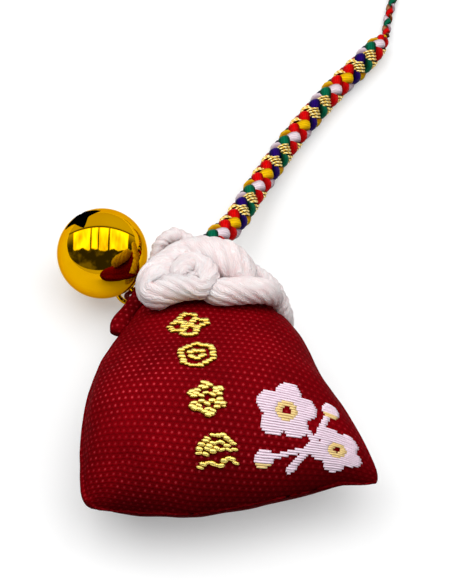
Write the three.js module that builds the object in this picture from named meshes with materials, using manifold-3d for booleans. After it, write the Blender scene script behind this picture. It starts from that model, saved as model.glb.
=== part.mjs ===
// Omamori charm: a stuffed brocade pouch lying on its back, drawn shut at the neck by a
// white cord knot, with a jingle bell tied at the neck and a braided strap with a hanging loop.
// Millimetres. The pouch's back lies on z = 0, +Y runs from its bottom fold to its neck, +X is
// to the right of someone reading its front, and the origin is under the middle of the pouch.
import * as THREE from 'three';
import { mergeVertices } from 'three/addons/utils/BufferGeometryUtils.js';
import Module from 'manifold-3d';

const wasm = await Module();
wasm.setup();

// Clearances
const touchGap = 0.3; // between pieces that lie against each other
const floorGap = 0.1; // under small pieces that lie beside the pouch

// Pouch cloth
const clothThickness = 0.7;
const bottomY = -15.95; // bottom fold, before its bulge
const bottomBulge = 1.9;
const neckY = 15.4; // where the body ends and the tied neck starts
const baseHalfWidth = 18.5;
const neckHalfWidth = 5.6;
const neckHalfHeight = 3.5;
const seamZ = 8.5; // height of the side seams along the body
const frontCrown = 9.4; // front cloth above the seams
const backDepth = 9.8; // back cloth below the seams, before it is pressed flat
const crownY = -3.6;
const sectionPower = 2.3; // 2 is an ellipse, more is squarer
const leftFullness = 2.6; // how far the left side swells before it draws in
const rightFullness = 1.25;
const leftCorner = { run: 3.4, draw: 2.2 };
const rightCorner = { run: 2.8, draw: 0.8 };
const leftSwell = { amount: -0.4, at: -9, spread: 6 }; // stuffing pushes each side out or lets it in
const rightSwell = { amount: 1.9, at: 7, spread: 6 };
const gatherRun = 5; // below the neck the gathers take up the swell over this length
const pleatCount = 7;
const pleatDepth = 0.3;
const frillLength = 1.1;
const frillFlare = 0.5;
const frillLeftShare = 0.8; // the frill is this much of its length beside the bell
const bodySteps = 18;
const sectionSteps = 28;

// Filling
const slip = { width: 14, length: 21, thickness: 0.8 };
const wrapperWall = 0.4;
const waddingGap = 0.45;
const waddingEndY = 9;
const waddingSteps = 10;
const waddingSections = 16;

// White cord
const cordDiameter = 2.9;
const ringRadius = 3.45; // the knot's turned ring, to the middle of the cord
const ringX = -3.7;
const bandBack = 5.9; // the knot's band lies this far below the neck
const knotLean = 0.19; // the knot leans back over the neck, rise over run
const cordSides = 8;
const windingSlack = 0.3; // turns round the neck stand off its pleats by this much more

// Bell
const bellRadius = 6.12;
const bellWall = 0.45;
const bellX = -12.2;
const bellY = 23.45;
const bellPole = new THREE.Vector3(-0.389, 0.483, 0.787).normalize(); // towards the opening
const loopAcross = new THREE.Vector3(0.775, -0.257, 0.577).normalize(); // from leg to leg
const starReach = 2.4; // opening's four points
const starWaist = 0.95;
const starTurn = 0.64; // radians from the loop's legs to the first point
const loopWire = 0.7;
const loopHalfWidth = 1.35;
const loopRise = 2.2;
const loopTail = 0.7; // legs inside the shell
const ballRadius = 1.9;
const tieDiameter = 0.7;

// Strap
const strapDiameter = 3.7;
const strapTaper = 3.4; // length over which the braid thins to the loop cord
const loopCordDiameter = 1.45;
const knotDiameter = 4;
const knotLength = 4.2;

const finishes = {
  brocade: new THREE.MeshStandardMaterial({ color: 0x8c0010, roughness: 0.75, metalness: 0 }),
  cotton: new THREE.MeshStandardMaterial({ color: 0xf0ece2, roughness: 1, metalness: 0 }),
  paper: new THREE.MeshStandardMaterial({ color: 0xf4efdf, roughness: 0.9, metalness: 0 }),
  cedar: new THREE.MeshStandardMaterial({ color: 0xd8b07a, roughness: 0.7, metalness: 0 }),
  whiteCord: new THREE.MeshStandardMaterial({ color: 0xf1e8e8, roughness: 0.55, metalness: 0 }),
  goldPlate: new THREE.MeshStandardMaterial({ color: 0xe6b020, roughness: 0.12, metalness: 1 }),
  steel: new THREE.MeshStandardMaterial({ color: 0x8d9096, roughness: 0.35, metalness: 1 }),
  redThread: new THREE.MeshStandardMaterial({ color: 0x9a0b18, roughness: 0.8, metalness: 0 }),
  braid: new THREE.MeshStandardMaterial({ color: 0xd2160c, roughness: 0.55, metalness: 0 }),
};

const vec = (x, y, z) => new THREE.Vector3(x, y, z);

// The neck, tied by the white cord and then by the bell's thread, and the frill beyond it
const neckZ = neckHalfHeight + pleatDepth + windingSlack + touchGap + cordDiameter + floorGap;
const windingY = neckY + cordDiameter / 2;
const tieY = windingY + (cordDiameter + tieDiameter) / 2 + 2 * touchGap;
const mouthY = tieY + tieDiameter / 2 + touchGap;

const clamp01 = (t) => Math.min(1, Math.max(0, t));
const smooth = (t) => clamp01(t) ** 2 * (3 - 2 * clamp01(t));
const mix = (a, b, t) => a + (b - a) * t;
const curveThrough = (points) => new THREE.CatmullRomCurve3(points, false, 'centripetal');

function geometryOf(corners, faces) {
  const geometry = new THREE.BufferGeometry();
  geometry.setAttribute('position', new THREE.Float32BufferAttribute(corners, 3));
  geometry.setIndex(faces);
  geometry.computeVertexNormals();
  return geometry;
}

// Closed solid between two grids of points that share their layout, outer first
function wallBetween(outer, inner) {
  const rows = outer.length;
  const columns = outer[0].length;
  const corners = [];
  for (const grid of [outer, inner]) {
    for (const row of grid) row.forEach((p) => corners.push(p.x, p.y, p.z));
  }
  const at = (layer, row, column) => (layer * rows + row) * columns + column;
  const faces = [];
  const quad = (a, b, c, d) => faces.push(a, c, b, a, d, c);
  for (let r = 0; r < rows - 1; r += 1) {
    for (let c = 0; c < columns - 1; c += 1) {
      quad(at(0, r, c), at(0, r, c + 1), at(0, r + 1, c + 1), at(0, r + 1, c));
      quad(at(1, r, c), at(1, r + 1, c), at(1, r + 1, c + 1), at(1, r, c + 1));
    }
    quad(at(0, r, 0), at(0, r + 1, 0), at(1, r + 1, 0), at(1, r, 0));
    const last = columns - 1;
    quad(at(0, r, last), at(1, r, last), at(1, r + 1, last), at(0, r + 1, last));
  }
  for (let c = 0; c < columns - 1; c += 1) {
    const end = rows - 1;
    quad(at(0, 0, c), at(1, 0, c), at(1, 0, c + 1), at(0, 0, c + 1));
    quad(at(0, end, c), at(0, end, c + 1), at(1, end, c + 1), at(1, end, c));
  }
  return geometryOf(corners, faces);
}

function circleShape(radius, sides) {
  const turn = (i) => (i / sides) * 2 * Math.PI;
  const corners = [];
  for (let i = 0; i < sides; i += 1) {
    corners.push(new THREE.Vector2(radius * Math.cos(turn(i)), radius * Math.sin(turn(i))));
  }
  return new THREE.Shape(corners);
}

function openTube(curve, diameter, steps, sides = cordSides) {
  const shape = circleShape(diameter / 2, sides);
  return new THREE.ExtrudeGeometry(shape, { steps, bevelEnabled: false, extrudePath: curve });
}

function closedTube(points, diameter, steps, sides = cordSides) {
  const curve = new THREE.CatmullRomCurve3(points, true, 'centripetal');
  return new THREE.TubeGeometry(curve, steps, diameter / 2, sides, true);
}

function toSolid(geometry) {
  const bare = geometry.clone();
  bare.deleteAttribute('normal');
  bare.deleteAttribute('uv');
  const merged = mergeVertices(bare, 1e-4);
  const vertProperties = new Float32Array(merged.attributes.position.array);
  const triVerts = new Uint32Array(merged.index.array);
  return new wasm.Manifold(new wasm.Mesh({ numProp: 3, vertProperties, triVerts }));
}

function fromSolid(solid) {
  const mesh = solid.getMesh();
  return geometryOf(Array.from(mesh.vertProperties), Array.from(mesh.triVerts));
}

function piece(name, geometry, material) {
  const mesh = new THREE.Mesh(geometry, material);
  mesh.name = name;
  return mesh;
}

// Half width of the pouch at a height y, on its left (-1) or right (1) side
function sideWidth(y, side, inset) {
  const up = clamp01((y - bottomY) / (neckY - bottomY));
  const fullness = side < 0 ? leftFullness : rightFullness;
  const corner = side < 0 ? leftCorner : rightCorner;
  const swell = side < 0 ? leftSwell : rightSwell;
  const round = clamp01((y - bottomY) / corner.run);
  const drawnIn = corner.draw * (1 - Math.sqrt(1 - (1 - round) ** 2));
  const gathered = smooth((y - neckY + gatherRun) / gatherRun);
  const swollen = swell.amount * Math.exp(-(((y - swell.at) / swell.spread) ** 2)) * (1 - gathered);
  return mix(neckHalfWidth, baseHalfWidth, 1 - up ** fullness) - drawnIn + swollen - inset;
}

const seamHeight = (y) => mix(seamZ, neckZ, smooth((y - crownY) / (neckY - crownY)));

// Height of the front cloth (1) above the seams, or depth of the back cloth (-1) below them
function crownHeight(y, layer, inset) {
  const full = layer > 0 ? frontCrown : backDepth;
  if (y < crownY) {
    const down = (crownY - y) / (crownY - bottomY - inset);
    return (full - inset) * Math.sqrt(Math.max(0, 1 - down ** 2));
  }
  const up = clamp01((y - crownY) / (neckY - crownY));
  const neckTop = neckZ + layer * neckHalfHeight;
  const edge = mix(seamZ + layer * full, neckTop, up ** 1.15);
  return layer * (edge - seamHeight(y)) - inset;
}

// Point of the pouch's cloth: angle 0 is the right seam and pi the left one
function clothPoint(angle, y, layer, inset) {
  const across = Math.cos(angle);
  const side = across < 0 ? -1 : 1;
  const width = sideWidth(y, side, inset);
  const share = Math.abs(across) ** (2 / sectionPower);
  const bulge = bottomBulge * (1 - share ** 2) * clamp01((crownY - y) / (crownY - bottomY)) ** 2;
  const rise = Math.abs(Math.sin(angle)) ** (2 / sectionPower);
  const pleat = pleatDepth * smooth((y - neckY + 4) / 4) * Math.cos(2 * pleatCount * angle) * rise;
  const rising = Math.max(0, crownHeight(y, layer, inset) - touchGap / 2) + pleat;
  const height = touchGap / 2 + rising * rise;
  const z = seamHeight(y) + layer * height;
  return vec(side * width * share, y - bulge, Math.max(z, inset));
}

// Point of the frill, a share of the way from the mouth to its hem
function frillPoint(angle, share, layer, inset) {
  const start = clothPoint(angle, mouthY, layer, inset);
  const reach = share * frillLength * mix(1, frillLeftShare, smooth(angle / Math.PI));
  const edge = layer * (clothThickness - inset) * Math.abs(Math.cos(angle));
  const flare = layer * frillFlare * share * Math.sin(angle);
  return start.add(vec(reach * Math.cos(angle), reach * Math.sin(angle), edge + flare));
}

function clothGrid(layer, inset) {
  const angles = Array.from({ length: sectionSteps + 1 }, (_, i) => {
    const turn = (i / sectionSteps) * Math.PI;
    return layer > 0 ? turn : Math.PI - turn;
  });
  const rows = [];
  for (let i = 0; i <= bodySteps; i += 1) {
    const up = 1 - Math.cos((i / bodySteps) * (Math.PI / 2));
    const y = mix(bottomY + inset, neckY, up);
    rows.push(angles.map((angle) => clothPoint(angle, y, layer, inset)));
  }
  for (const share of [0, 0.5, 1]) {
    rows.push(angles.map((angle) => frillPoint(angle, share, layer, inset)));
  }
  return rows;
}

const clothPanel = (layer) => wallBetween(clothGrid(layer, 0), clothGrid(layer, clothThickness));

// Cotton pad under one panel, cut flat where it lies against the paper wrapper
function waddingPad(layer, flatZ) {
  const inset = clothThickness + waddingGap;
  const curved = [];
  const level = [];
  for (let i = 0; i <= waddingSteps; i += 1) {
    const up = 1 - Math.cos((i / waddingSteps) * (Math.PI / 2));
    const y = mix(bottomY + 2 * inset, waddingEndY, up);
    const row = [];
    for (let j = 0; j <= waddingSections; j += 1) {
      const turn = (j / waddingSections) * Math.PI;
      row.push(clothPoint(layer > 0 ? turn : Math.PI - turn, y, layer, inset));
    }
    curved.push(row);
    level.push(row.map((p) => vec(p.x, p.y, seamHeight(y))));
  }
  const size = 4 * baseHalfWidth;
  const beyond = new THREE.BoxGeometry(size, size, size);
  beyond.translate(0, 0, flatZ - layer * size / 2);
  return fromSolid(toSolid(wallBetween(curved, level)).subtract(toSolid(beyond)));
}

function wrapper() {
  const hollow = new THREE.BoxGeometry(
    slip.width + 2 * touchGap, slip.length + 10, slip.thickness + 2 * touchGap);
  const outside = new THREE.BoxGeometry(
    slip.width + 2 * (touchGap + wrapperWall), slip.length,
    slip.thickness + 2 * (touchGap + wrapperWall));
  return fromSolid(toSolid(outside).subtract(toSolid(hollow)));
}

function filling() {
  const group = new THREE.Group();
  const packetHalf = slip.thickness / 2 + touchGap + wrapperWall;
  group.add(piece('wadding_front', waddingPad(1, seamZ + packetHalf + touchGap), finishes.cotton));
  group.add(piece('wadding_back', waddingPad(-1, seamZ - packetHalf - touchGap), finishes.cotton));
  const packet = new THREE.Group();
  packet.position.set(0, crownY, seamZ);
  const board = new THREE.BoxGeometry(slip.width, slip.length, slip.thickness);
  packet.add(piece('prayer_slip', board, finishes.cedar));
  packet.add(piece('slip_wrapper', wrapper(), finishes.paper));
  group.add(packet);
  return group;
}

// Height of the front cloth over a point of the table
function frontHeight(x, y) {
  const side = x < 0 ? -1 : 1;
  const share = clamp01(Math.abs(x) / sideWidth(y, side, 0));
  const angle = Math.acos(side * share ** (sectionPower / 2));
  return clothPoint(angle, y, 1, 0).z;
}

const cordRadius = cordDiameter / 2;
const bandY = neckY - bandBack;
const bandZ = frontHeight(0, bandY) + 1.3 * touchGap + cordRadius;
const knotZ = (y) => bandZ - knotLean * (y - bandY);
const tiePad = touchGap + cordRadius;

// A point beside the neck, at an angle seen along the pouch
function onNeck(turn, lift) {
  const squared = (t) => Math.sign(t) * Math.abs(t) ** (2 / sectionPower);
  const off = lift + windingSlack;
  const x = (neckHalfWidth + off) * squared(Math.cos(turn));
  const z = neckZ + (neckHalfHeight + pleatDepth + off) * squared(Math.sin(turn));
  return vec(x, windingY, z);
}

// A point of the cord where it hangs beside the pouch's right shoulder
const besideShoulder = (y, z) => vec(sideWidth(y, 1, 0) + tiePad + windingSlack, y, z);

// The drawstring: under and round the neck, up into the left ear, over the front of the knot
// and down the right shoulder
function neckCord() {
  const ringTop = bandY + 2 * ringRadius;
  const route = [
    onNeck(-Math.PI / 2, tiePad),
    onNeck(-2.35, tiePad),
    onNeck(-Math.PI, tiePad),
    vec(-neckHalfWidth - tiePad - 0.5, windingY + 0.2, neckZ + neckHalfHeight - 0.3),
    vec(ringX - 3.9, ringTop + 2, knotZ(ringTop) - 1.2),
    vec(ringX - 2.1, ringTop + 3.5, knotZ(ringTop) - 0.2),
    vec(ringX + 0.4, ringTop + 3.9, knotZ(ringTop)),
    vec(ringX + 3.3, ringTop + 2.7, knotZ(ringTop) + 0.5),
    vec(ringX + 5.9, ringTop + 0.7, knotZ(ringTop) + 0.4),
    vec(ringX + 8.2, ringTop - 1, knotZ(ringTop) + 0.4),
    vec(ringX + 10.8, ringTop - 2.4, knotZ(ringTop) - 0.3),
    vec(neckHalfWidth + tiePad + 2.8, neckY - 2.6, neckZ + 4.6),
    besideShoulder(neckY - 4.9, neckZ + 2.3),
    besideShoulder(neckY - 5.6, neckZ - 0.6),
    besideShoulder(neckY - 3.8, neckZ - 3.3),
    onNeck(-0.75, tiePad),
    onNeck(-1.15, tiePad),
  ];
  return closedTube(route, cordDiameter, 72);
}

// The knot's ring, turned round the left of the front, and the band that it runs into
function knotCord() {
  const middle = vec(ringX, bandY + ringRadius, 0);
  const route = [];
  const inside = vec(middle.x + ringRadius, middle.y - 0.5, 0);
  const foot = frontHeight(inside.x, inside.y - cordRadius) + touchGap;
  route.push(vec(inside.x, inside.y, foot));
  route.push(vec(inside.x, inside.y + 0.1, mix(foot, knotZ(inside.y), 0.5)));
  for (let turn = 0.3; turn < 1.5 * Math.PI; turn += 0.42) {
    const x = middle.x + ringRadius * Math.cos(turn);
    const y = middle.y + ringRadius * Math.sin(turn);
    route.push(vec(x, y, knotZ(y)));
  }
  for (const x of [ringX, ringX + 3, ringX + 6.5, ringX + 9.5]) {
    route.push(vec(x, bandY, bandZ + (x > ringX ? 0.1 : 0)));
  }
  const end = vec(ringX + 11.8, bandY, bandZ - 0.6);
  route.push(end, vec(end.x + 0.7, end.y + 0.1, end.z - 1));
  return openTube(curveThrough(route), cordDiameter, 44);
}

// The bell lies with its opening up and its loop on the table
const bellAway = bellPole.clone().negate();
const archReach = bellRadius + loopRise - loopHalfWidth;
const archDrop = loopHalfWidth * Math.hypot(bellPole.z, loopAcross.z);
const bellZ = archReach * bellPole.z + archDrop + loopWire / 2 + floorGap;
const bellMiddle = vec(bellX, bellY, bellZ);
const eyeReach = bellRadius + (loopRise - loopWire / 2) / 2;
const loopEye = bellMiddle.clone().addScaledVector(bellAway, eyeReach);
const loopNormal = bellPole.clone().cross(loopAcross).normalize();

// Thread round the neck, drawn out and passed through the bell's loop, round its near leg
function bellTie() {
  const lift = touchGap + tieDiameter / 2;
  const tipTurn = Math.atan2(loopEye.z - neckZ, loopEye.x);
  const route = [];
  for (let i = 2; i <= 18; i += 1) {
    const p = onNeck(tipTurn + (i / 20) * 2 * Math.PI, lift);
    route.push(vec(p.x, tieY, p.z));
  }
  const beside = (loopWire + tieDiameter) / 2 + touchGap;
  const inEye = (across, aside) => loopEye.clone()
    .addScaledVector(loopAcross, across * loopHalfWidth)
    .addScaledVector(loopNormal, aside * beside);
  route.push(inEye(1.2, -1.1), inEye(0.3, -0.75), inEye(0, 0), inEye(0.3, 0.75), inEye(1.2, 1.1));
  return closedTube(route, tieDiameter, 64, 6);
}

function orient(mesh, xAxis, zAxis, position) {
  const yAxis = zAxis.clone().cross(xAxis).normalize();
  const square = yAxis.clone().cross(zAxis).normalize();
  mesh.quaternion.setFromRotationMatrix(new THREE.Matrix4().makeBasis(square, yAxis, zAxis));
  mesh.position.copy(position);
  return mesh;
}

function bellShell() {
  const outside = toSolid(new THREE.SphereGeometry(bellRadius, 32, 18));
  const inside = toSolid(new THREE.SphereGeometry(bellRadius - bellWall, 32, 18));
  const star = new THREE.Shape();
  for (let i = 0; i < 8; i += 1) {
    const reach = i % 2 ? starWaist : starReach;
    const turn = starTurn + (i / 8) * 2 * Math.PI;
    star[i ? 'lineTo' : 'moveTo'](reach * Math.cos(turn), reach * Math.sin(turn));
  }
  const opening = new THREE.ExtrudeGeometry(star, { depth: bellRadius + 1, bevelEnabled: false });
  let shell = outside.subtract(inside).subtract(toSolid(opening));
  const holeRadius = loopWire / 2 + 1.2 * touchGap;
  for (const side of [-1, 1]) {
    const hole = new THREE.CylinderGeometry(holeRadius, holeRadius, bellRadius, 12);
    hole.rotateX(Math.PI / 2).translate(side * loopHalfWidth, 0, -bellRadius);
    shell = shell.subtract(toSolid(hole));
  }
  return fromSolid(shell);
}

// Wire loop at the bell's pole: two legs through the shell and a round arch
function bellLoop() {
  const foot = -Math.sqrt(bellRadius ** 2 - loopHalfWidth ** 2) + bellWall + loopTail;
  const route = [vec(-loopHalfWidth, 0, foot)];
  for (let i = 0; i <= 8; i += 1) {
    const turn = Math.PI * (1 + i / 8);
    const drop = loopHalfWidth * Math.sin(turn) - archReach;
    route.push(vec(loopHalfWidth * Math.cos(turn), 0, drop));
  }
  route.push(vec(loopHalfWidth, 0, foot));
  return openTube(curveThrough(route), loopWire, 28);
}

function bell() {
  const group = new THREE.Group();
  orient(group, loopAcross, bellPole, bellMiddle);
  group.add(piece('bell_shell', bellShell(), finishes.goldPlate));
  group.add(piece('bell_loop', bellLoop(), finishes.goldPlate));
  return group;
}

function bellBall() {
  const ball = piece('bell_ball', new THREE.SphereGeometry(ballRadius, 16, 10), finishes.steel);
  const drop = bellRadius - bellWall - 1.2 * touchGap - ballRadius;
  ball.position.set(bellMiddle.x, bellMiddle.y, bellMiddle.z - drop);
  return ball;
}

// Strap: where its middle line runs, from inside the neck along the table
const strapRoute = [
  vec(0, 14.2, neckZ), vec(0, 18.4, neckZ), vec(0.9, 21, 7.3), vec(3.1, 24, 6.6), vec(6.05, 27.4, 5.3),
  vec(11.97, 36.8, 3.2), vec(18.48, 45.6, 2.2), vec(25.6, 53.4, 1.98), vec(30.4, 57.9, 1.95),
  vec(33.3, 61.1, 1.9), vec(34.4, 62.5, 1.6),
];
const legRoute = [
  vec(34.72, 63.02, 1.43), vec(35.3, 65, 1.0), vec(35.98, 67.3, 0.85), vec(37.4, 71, 0.82),
  vec(38.6, 74.5, 0.82), vec(39.4, 78, 0.82),
];
const eyeRoute = [
  vec(40.35, 82.75, 0.82), vec(42, 87.5, 0.82), vec(44.2, 92.5, 0.82), vec(45.2, 97.5, 0.82),
  vec(44.2, 102, 0.82), vec(41, 104.6, 0.82), vec(37.2, 103.6, 0.82), vec(35.4, 100, 0.82),
  vec(35.4, 95, 0.82), vec(36.4, 90, 0.82), vec(37.7, 86, 0.82), vec(38.65, 82.95, 0.82),
];

// Braid of one thickness, thinned at its far end to the cord that goes on from it
function strapBraid() {
  const curve = curveThrough(strapRoute);
  const steps = 30;
  const sides = 12;
  const tube = openTube(curve, strapDiameter, steps, sides);
  const length = curve.getLength();
  const position = tube.attributes.position;
  const point = new THREE.Vector3();
  const centres = curve.getSpacedPoints(steps);
  for (let i = 0; i < position.count; i += 1) {
    point.fromBufferAttribute(position, i);
    const near = centres.reduce((best, c, k) => (
      c.distanceTo(point) < centres[best].distanceTo(point) ? k : best), 0);
    const left = length * (1 - near / steps);
    const slim = mix(loopCordDiameter / strapDiameter, 1, clamp01(left / strapTaper) ** 0.75);
    point.sub(centres[near]).multiplyScalar(slim).add(centres[near]);
    position.setXYZ(i, point.x, point.y, point.z);
  }
  return tube;
}

function loopKnot() {
  const legEnd = legRoute[legRoute.length - 1];
  const eyeMiddle = eyeRoute[0].clone().lerp(eyeRoute[eyeRoute.length - 1], 0.5);
  const along = eyeMiddle.clone().sub(legEnd).setZ(0).normalize();
  const half = knotLength / 2;
  const radius = knotDiameter / 2;
  const profile = [];
  for (let i = 0; i <= 8; i += 1) {
    const turn = (i / 8) * Math.PI - Math.PI / 2;
    profile.push(new THREE.Vector2(i % 8 ? radius * Math.cos(turn) ** 0.5 : 0, half * Math.sin(turn)));
  }
  const knot = piece('loop_knot', new THREE.LatheGeometry(profile, 14), finishes.braid);
  knot.quaternion.setFromUnitVectors(vec(0, 1, 0), along);
  const middle = legEnd.clone().addScaledVector(along, half + touchGap);
  knot.position.set(middle.x, middle.y, radius + floorGap);
  return knot;
}

function strap() {
  const group = new THREE.Group();
  group.add(piece('strap_braid', strapBraid(), finishes.braid));
  group.add(piece('strap_leg', openTube(curveThrough(legRoute), loopCordDiameter, 8), finishes.braid));
  group.add(piece('hang_loop', openTube(curveThrough(eyeRoute), loopCordDiameter, 24), finishes.braid));
  group.add(loopKnot());
  return group;
}

const charm = new THREE.Group();
charm.add(piece('front_panel', clothPanel(1), finishes.brocade));
charm.add(piece('back_panel', clothPanel(-1), finishes.brocade));
charm.add(filling());
charm.add(piece('neck_cord', neckCord(), finishes.whiteCord));
charm.add(piece('knot_cord', knotCord(), finishes.whiteCord));
charm.add(piece('bell_tie', bellTie(), finishes.redThread));
charm.add(bell());
charm.add(bellBall());
charm.add(strap());

export default charm;
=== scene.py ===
import bpy
import math
import random
import numpy as np
from mathutils import Matrix, Vector, noise


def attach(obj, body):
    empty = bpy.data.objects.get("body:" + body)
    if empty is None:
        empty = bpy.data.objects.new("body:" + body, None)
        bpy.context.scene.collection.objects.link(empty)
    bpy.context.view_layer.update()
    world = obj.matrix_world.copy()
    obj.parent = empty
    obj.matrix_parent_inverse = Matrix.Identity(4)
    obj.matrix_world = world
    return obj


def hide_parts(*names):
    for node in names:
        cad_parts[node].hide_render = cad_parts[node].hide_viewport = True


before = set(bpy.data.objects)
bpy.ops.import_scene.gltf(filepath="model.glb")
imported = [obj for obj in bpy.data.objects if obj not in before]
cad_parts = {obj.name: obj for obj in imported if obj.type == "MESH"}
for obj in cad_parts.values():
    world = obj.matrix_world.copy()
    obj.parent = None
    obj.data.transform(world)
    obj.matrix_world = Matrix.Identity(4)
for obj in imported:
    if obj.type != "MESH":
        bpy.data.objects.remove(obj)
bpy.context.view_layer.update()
mm = 0.001
fullTurn = 2 * math.pi
scene = bpy.context.scene


def linear(red, green, blue):  # a colour as it reads on screen, 0 to 255
    def one(c):
        c = c / 255
        return c / 12.92 if c <= 0.04045 else ((c + 0.055) / 1.055) ** 2.4
    return (one(red), one(green), one(blue), 1.0)


# Camera at the photograph's place

cameraSpec = {"target": (3.63, 15.76, 6.0), "distance": 230.0, "azimuth": -7.74, "elevation": 55.0,
              "lens": 70.58, "sensorHeight": 24.0, "clipStart": 5.0}


def addCamera(spec):
    turn = math.radians(spec["azimuth"])
    rise = math.radians(spec["elevation"])
    back = Vector((math.sin(turn) * math.cos(rise), -math.cos(turn) * math.cos(rise), math.sin(rise)))
    place = (Vector(spec["target"]) + back * spec["distance"]) * mm
    bpy.ops.object.camera_add(location=place, rotation=(math.pi / 2 - rise, 0, turn))
    camera = bpy.context.object
    camera.name = "photoCamera"
    camera.data.sensor_fit = "VERTICAL"
    camera.data.sensor_height = spec["sensorHeight"]
    camera.data.lens = spec["lens"]
    camera.data.clip_start = spec["clipStart"] * mm
    scene.camera = camera
    return np.array(back)


towardsCamera = addCamera(cameraSpec)
print("camera placed")


# Routes, tubes and small mesh helpers, all in millimetres until the mesh is made

def unit(v):
    return v / np.maximum(np.linalg.norm(v, axis=-1, keepdims=True), 1e-9)


def runAlong(points):  # distance from the first point to each of them
    return np.r_[0, np.cumsum(np.linalg.norm(np.diff(points, axis=0), axis=1))]


def routeThrough(points, step, closed=False, finer=40):  # even steps on a smooth curve through the points
    points = np.array(points, float)
    if closed:
        ring = np.vstack([points[-1:], points, points[:2]])
    else:
        ring = np.vstack([2 * points[0] - points[1], points, 2 * points[-1] - points[-2]])
    fine = []
    for p0, p1, p2, p3 in zip(ring, ring[1:], ring[2:], ring[3:]):
        t1 = np.linalg.norm((p1 - p0)[:3]) ** 0.5
        t2 = t1 + np.linalg.norm((p2 - p1)[:3]) ** 0.5
        t3 = t2 + np.linalg.norm((p3 - p2)[:3]) ** 0.5
        t = np.linspace(t1, t2, finer, endpoint=False)[:, None]

        def between(a, b, start, end):
            return (end - t) / (end - start) * a + (t - start) / (end - start) * b

        a1, a2, a3 = between(p0, p1, 0, t1), between(p1, p2, t1, t2), between(p2, p3, t2, t3)
        fine.append(between(between(a1, a2, 0, t2), between(a2, a3, t1, t3), t1, t2))
    fine.append(points[:1] if closed else points[-1:])
    fine = np.vstack(fine)
    along = runAlong(fine[:, :3])
    count = max(2, int(round(along[-1] / step)))
    want = np.linspace(0, along[-1], count + 1)
    even = np.stack([np.interp(want, along, fine[:, k]) for k in range(fine.shape[1])], 1)
    return (even[:-1] if closed else even), along[-1]


def framesAlong(points, facing=None, closed=False):  # normal and side at each point
    if closed:
        tangent = unit(np.roll(points, -1, 0) - np.roll(points, 1, 0))
    else:
        tangent = unit(np.gradient(points, axis=0))
    if facing is not None:
        normal = unit(facing - (tangent @ facing)[:, None] * tangent)
        return normal, np.cross(tangent, normal)
    start = np.array((0.3, 0.2, 1.0))  # any way that no cord starts out in
    normal = [unit(start - (tangent[0] @ start) * tangent[0])]
    for t in tangent[1:]:
        normal.append(unit(normal[-1] - (t @ normal[-1]) * t))
    normal = np.array(normal)
    side = np.cross(tangent, normal)
    if closed:  # the frame comes home turned, so the turn is spread over the whole loop
        back = unit(normal[-1] - (tangent[0] @ normal[-1]) * tangent[0])
        off = math.atan2(back @ side[0], back @ normal[0])
        turn = -off * np.arange(len(points))[:, None] / len(points)
        normal, side = (np.cos(turn) * normal + np.sin(turn) * side,
                        np.cos(turn) * side - np.sin(turn) * normal)
    return normal, side


def around(sides):
    return np.arange(sides) / sides * fullTurn


def tubeRings(points, first, second, sides, wide, high=None):  # wide along first, high along second
    wide, high = (np.reshape(reach, (len(points), -1, 1)) for reach in (wide, wide if high is None else high))
    turn = around(sides)[None, :, None]
    return points[:, None] + wide * np.cos(turn) * first[:, None] + high * np.sin(turn) * second[:, None]


def newPart():
    return {"verts": [], "faces": [], "uvs": [], "slots": [], "tints": [], "count": 0}


def addRings(part, rings, closed=False, slot=0, tint=(1, 1, 1, 1), spread=1.0):  # skin over rings of points
    rings = np.array(rings)
    rows, sides = rings.shape[:2]
    base = part["count"]
    part["verts"].append(rings.reshape(-1, 3))
    part["count"] += rows * sides
    middle = rings.mean(1)
    run = runAlong(middle)

    def addFace(corners, uvs):
        for key, value in (("faces", corners), ("uvs", uvs), ("slots", slot), ("tints", tint)):
            part[key].append(value)

    for r in range(rows if closed else rows - 1):
        s = (r + 1) % rows
        top = run[s] if s else run[-1] + np.linalg.norm(middle[0] - middle[-1])
        for c in range(sides):
            d = (c + 1) % sides
            u0, u1 = c / sides * spread, (c + 1) / sides * spread
            addFace((base + r * sides + c, base + r * sides + d, base + s * sides + d, base + s * sides + c),
                    ((u0, run[r]), (u1, run[r]), (u1, top), (u0, top)))
    if not closed:
        for row, order in ((0, -1), (rows - 1, 1)):
            cap = [base + row * sides + c for c in range(sides)][::order]
            addFace(tuple(cap), tuple((0.5, run[row]) for _ in cap))


def makePiece(part, name, materials):
    mesh = bpy.data.meshes.new(name)
    mesh.from_pydata((np.vstack(part["verts"]) * mm).tolist(), [], part["faces"])
    for material in materials:
        mesh.materials.append(material)
    mesh.polygons.foreach_set("material_index", part["slots"])
    mesh.polygons.foreach_set("use_smooth", [True] * len(part["faces"]))
    uv = mesh.uv_layers.new(name="threadUv")
    uv.data.foreach_set("uv", [n for face in part["uvs"] for pair in face for n in pair])
    tint = mesh.color_attributes.new("threadTint", "FLOAT_COLOR", "CORNER")
    tint.data.foreach_set("color", [n for face, c in zip(part["faces"], part["tints"]) for _ in face for n in c])
    mesh.update()
    piece = bpy.data.objects.new(name, mesh)
    scene.collection.objects.link(piece)
    return piece


def settle(piece, body, slot, *nodes):
    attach(piece, body)
    if nodes:
        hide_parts(*nodes)


def pick(piece):  # what comes next acts on this piece only
    bpy.ops.object.select_all(action="DESELECT")
    piece.select_set(True)
    bpy.context.view_layer.objects.active = piece


def mendMesh(piece, gap):  # merges what meets and turns the faces outwards
    pick(piece)
    bpy.ops.object.mode_set(mode="EDIT")
    bpy.ops.mesh.select_all(action="SELECT")
    bpy.ops.mesh.remove_doubles(threshold=gap * mm)
    bpy.ops.mesh.normals_make_consistent(inside=False)
    bpy.ops.object.mode_set(mode="OBJECT")


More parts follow.
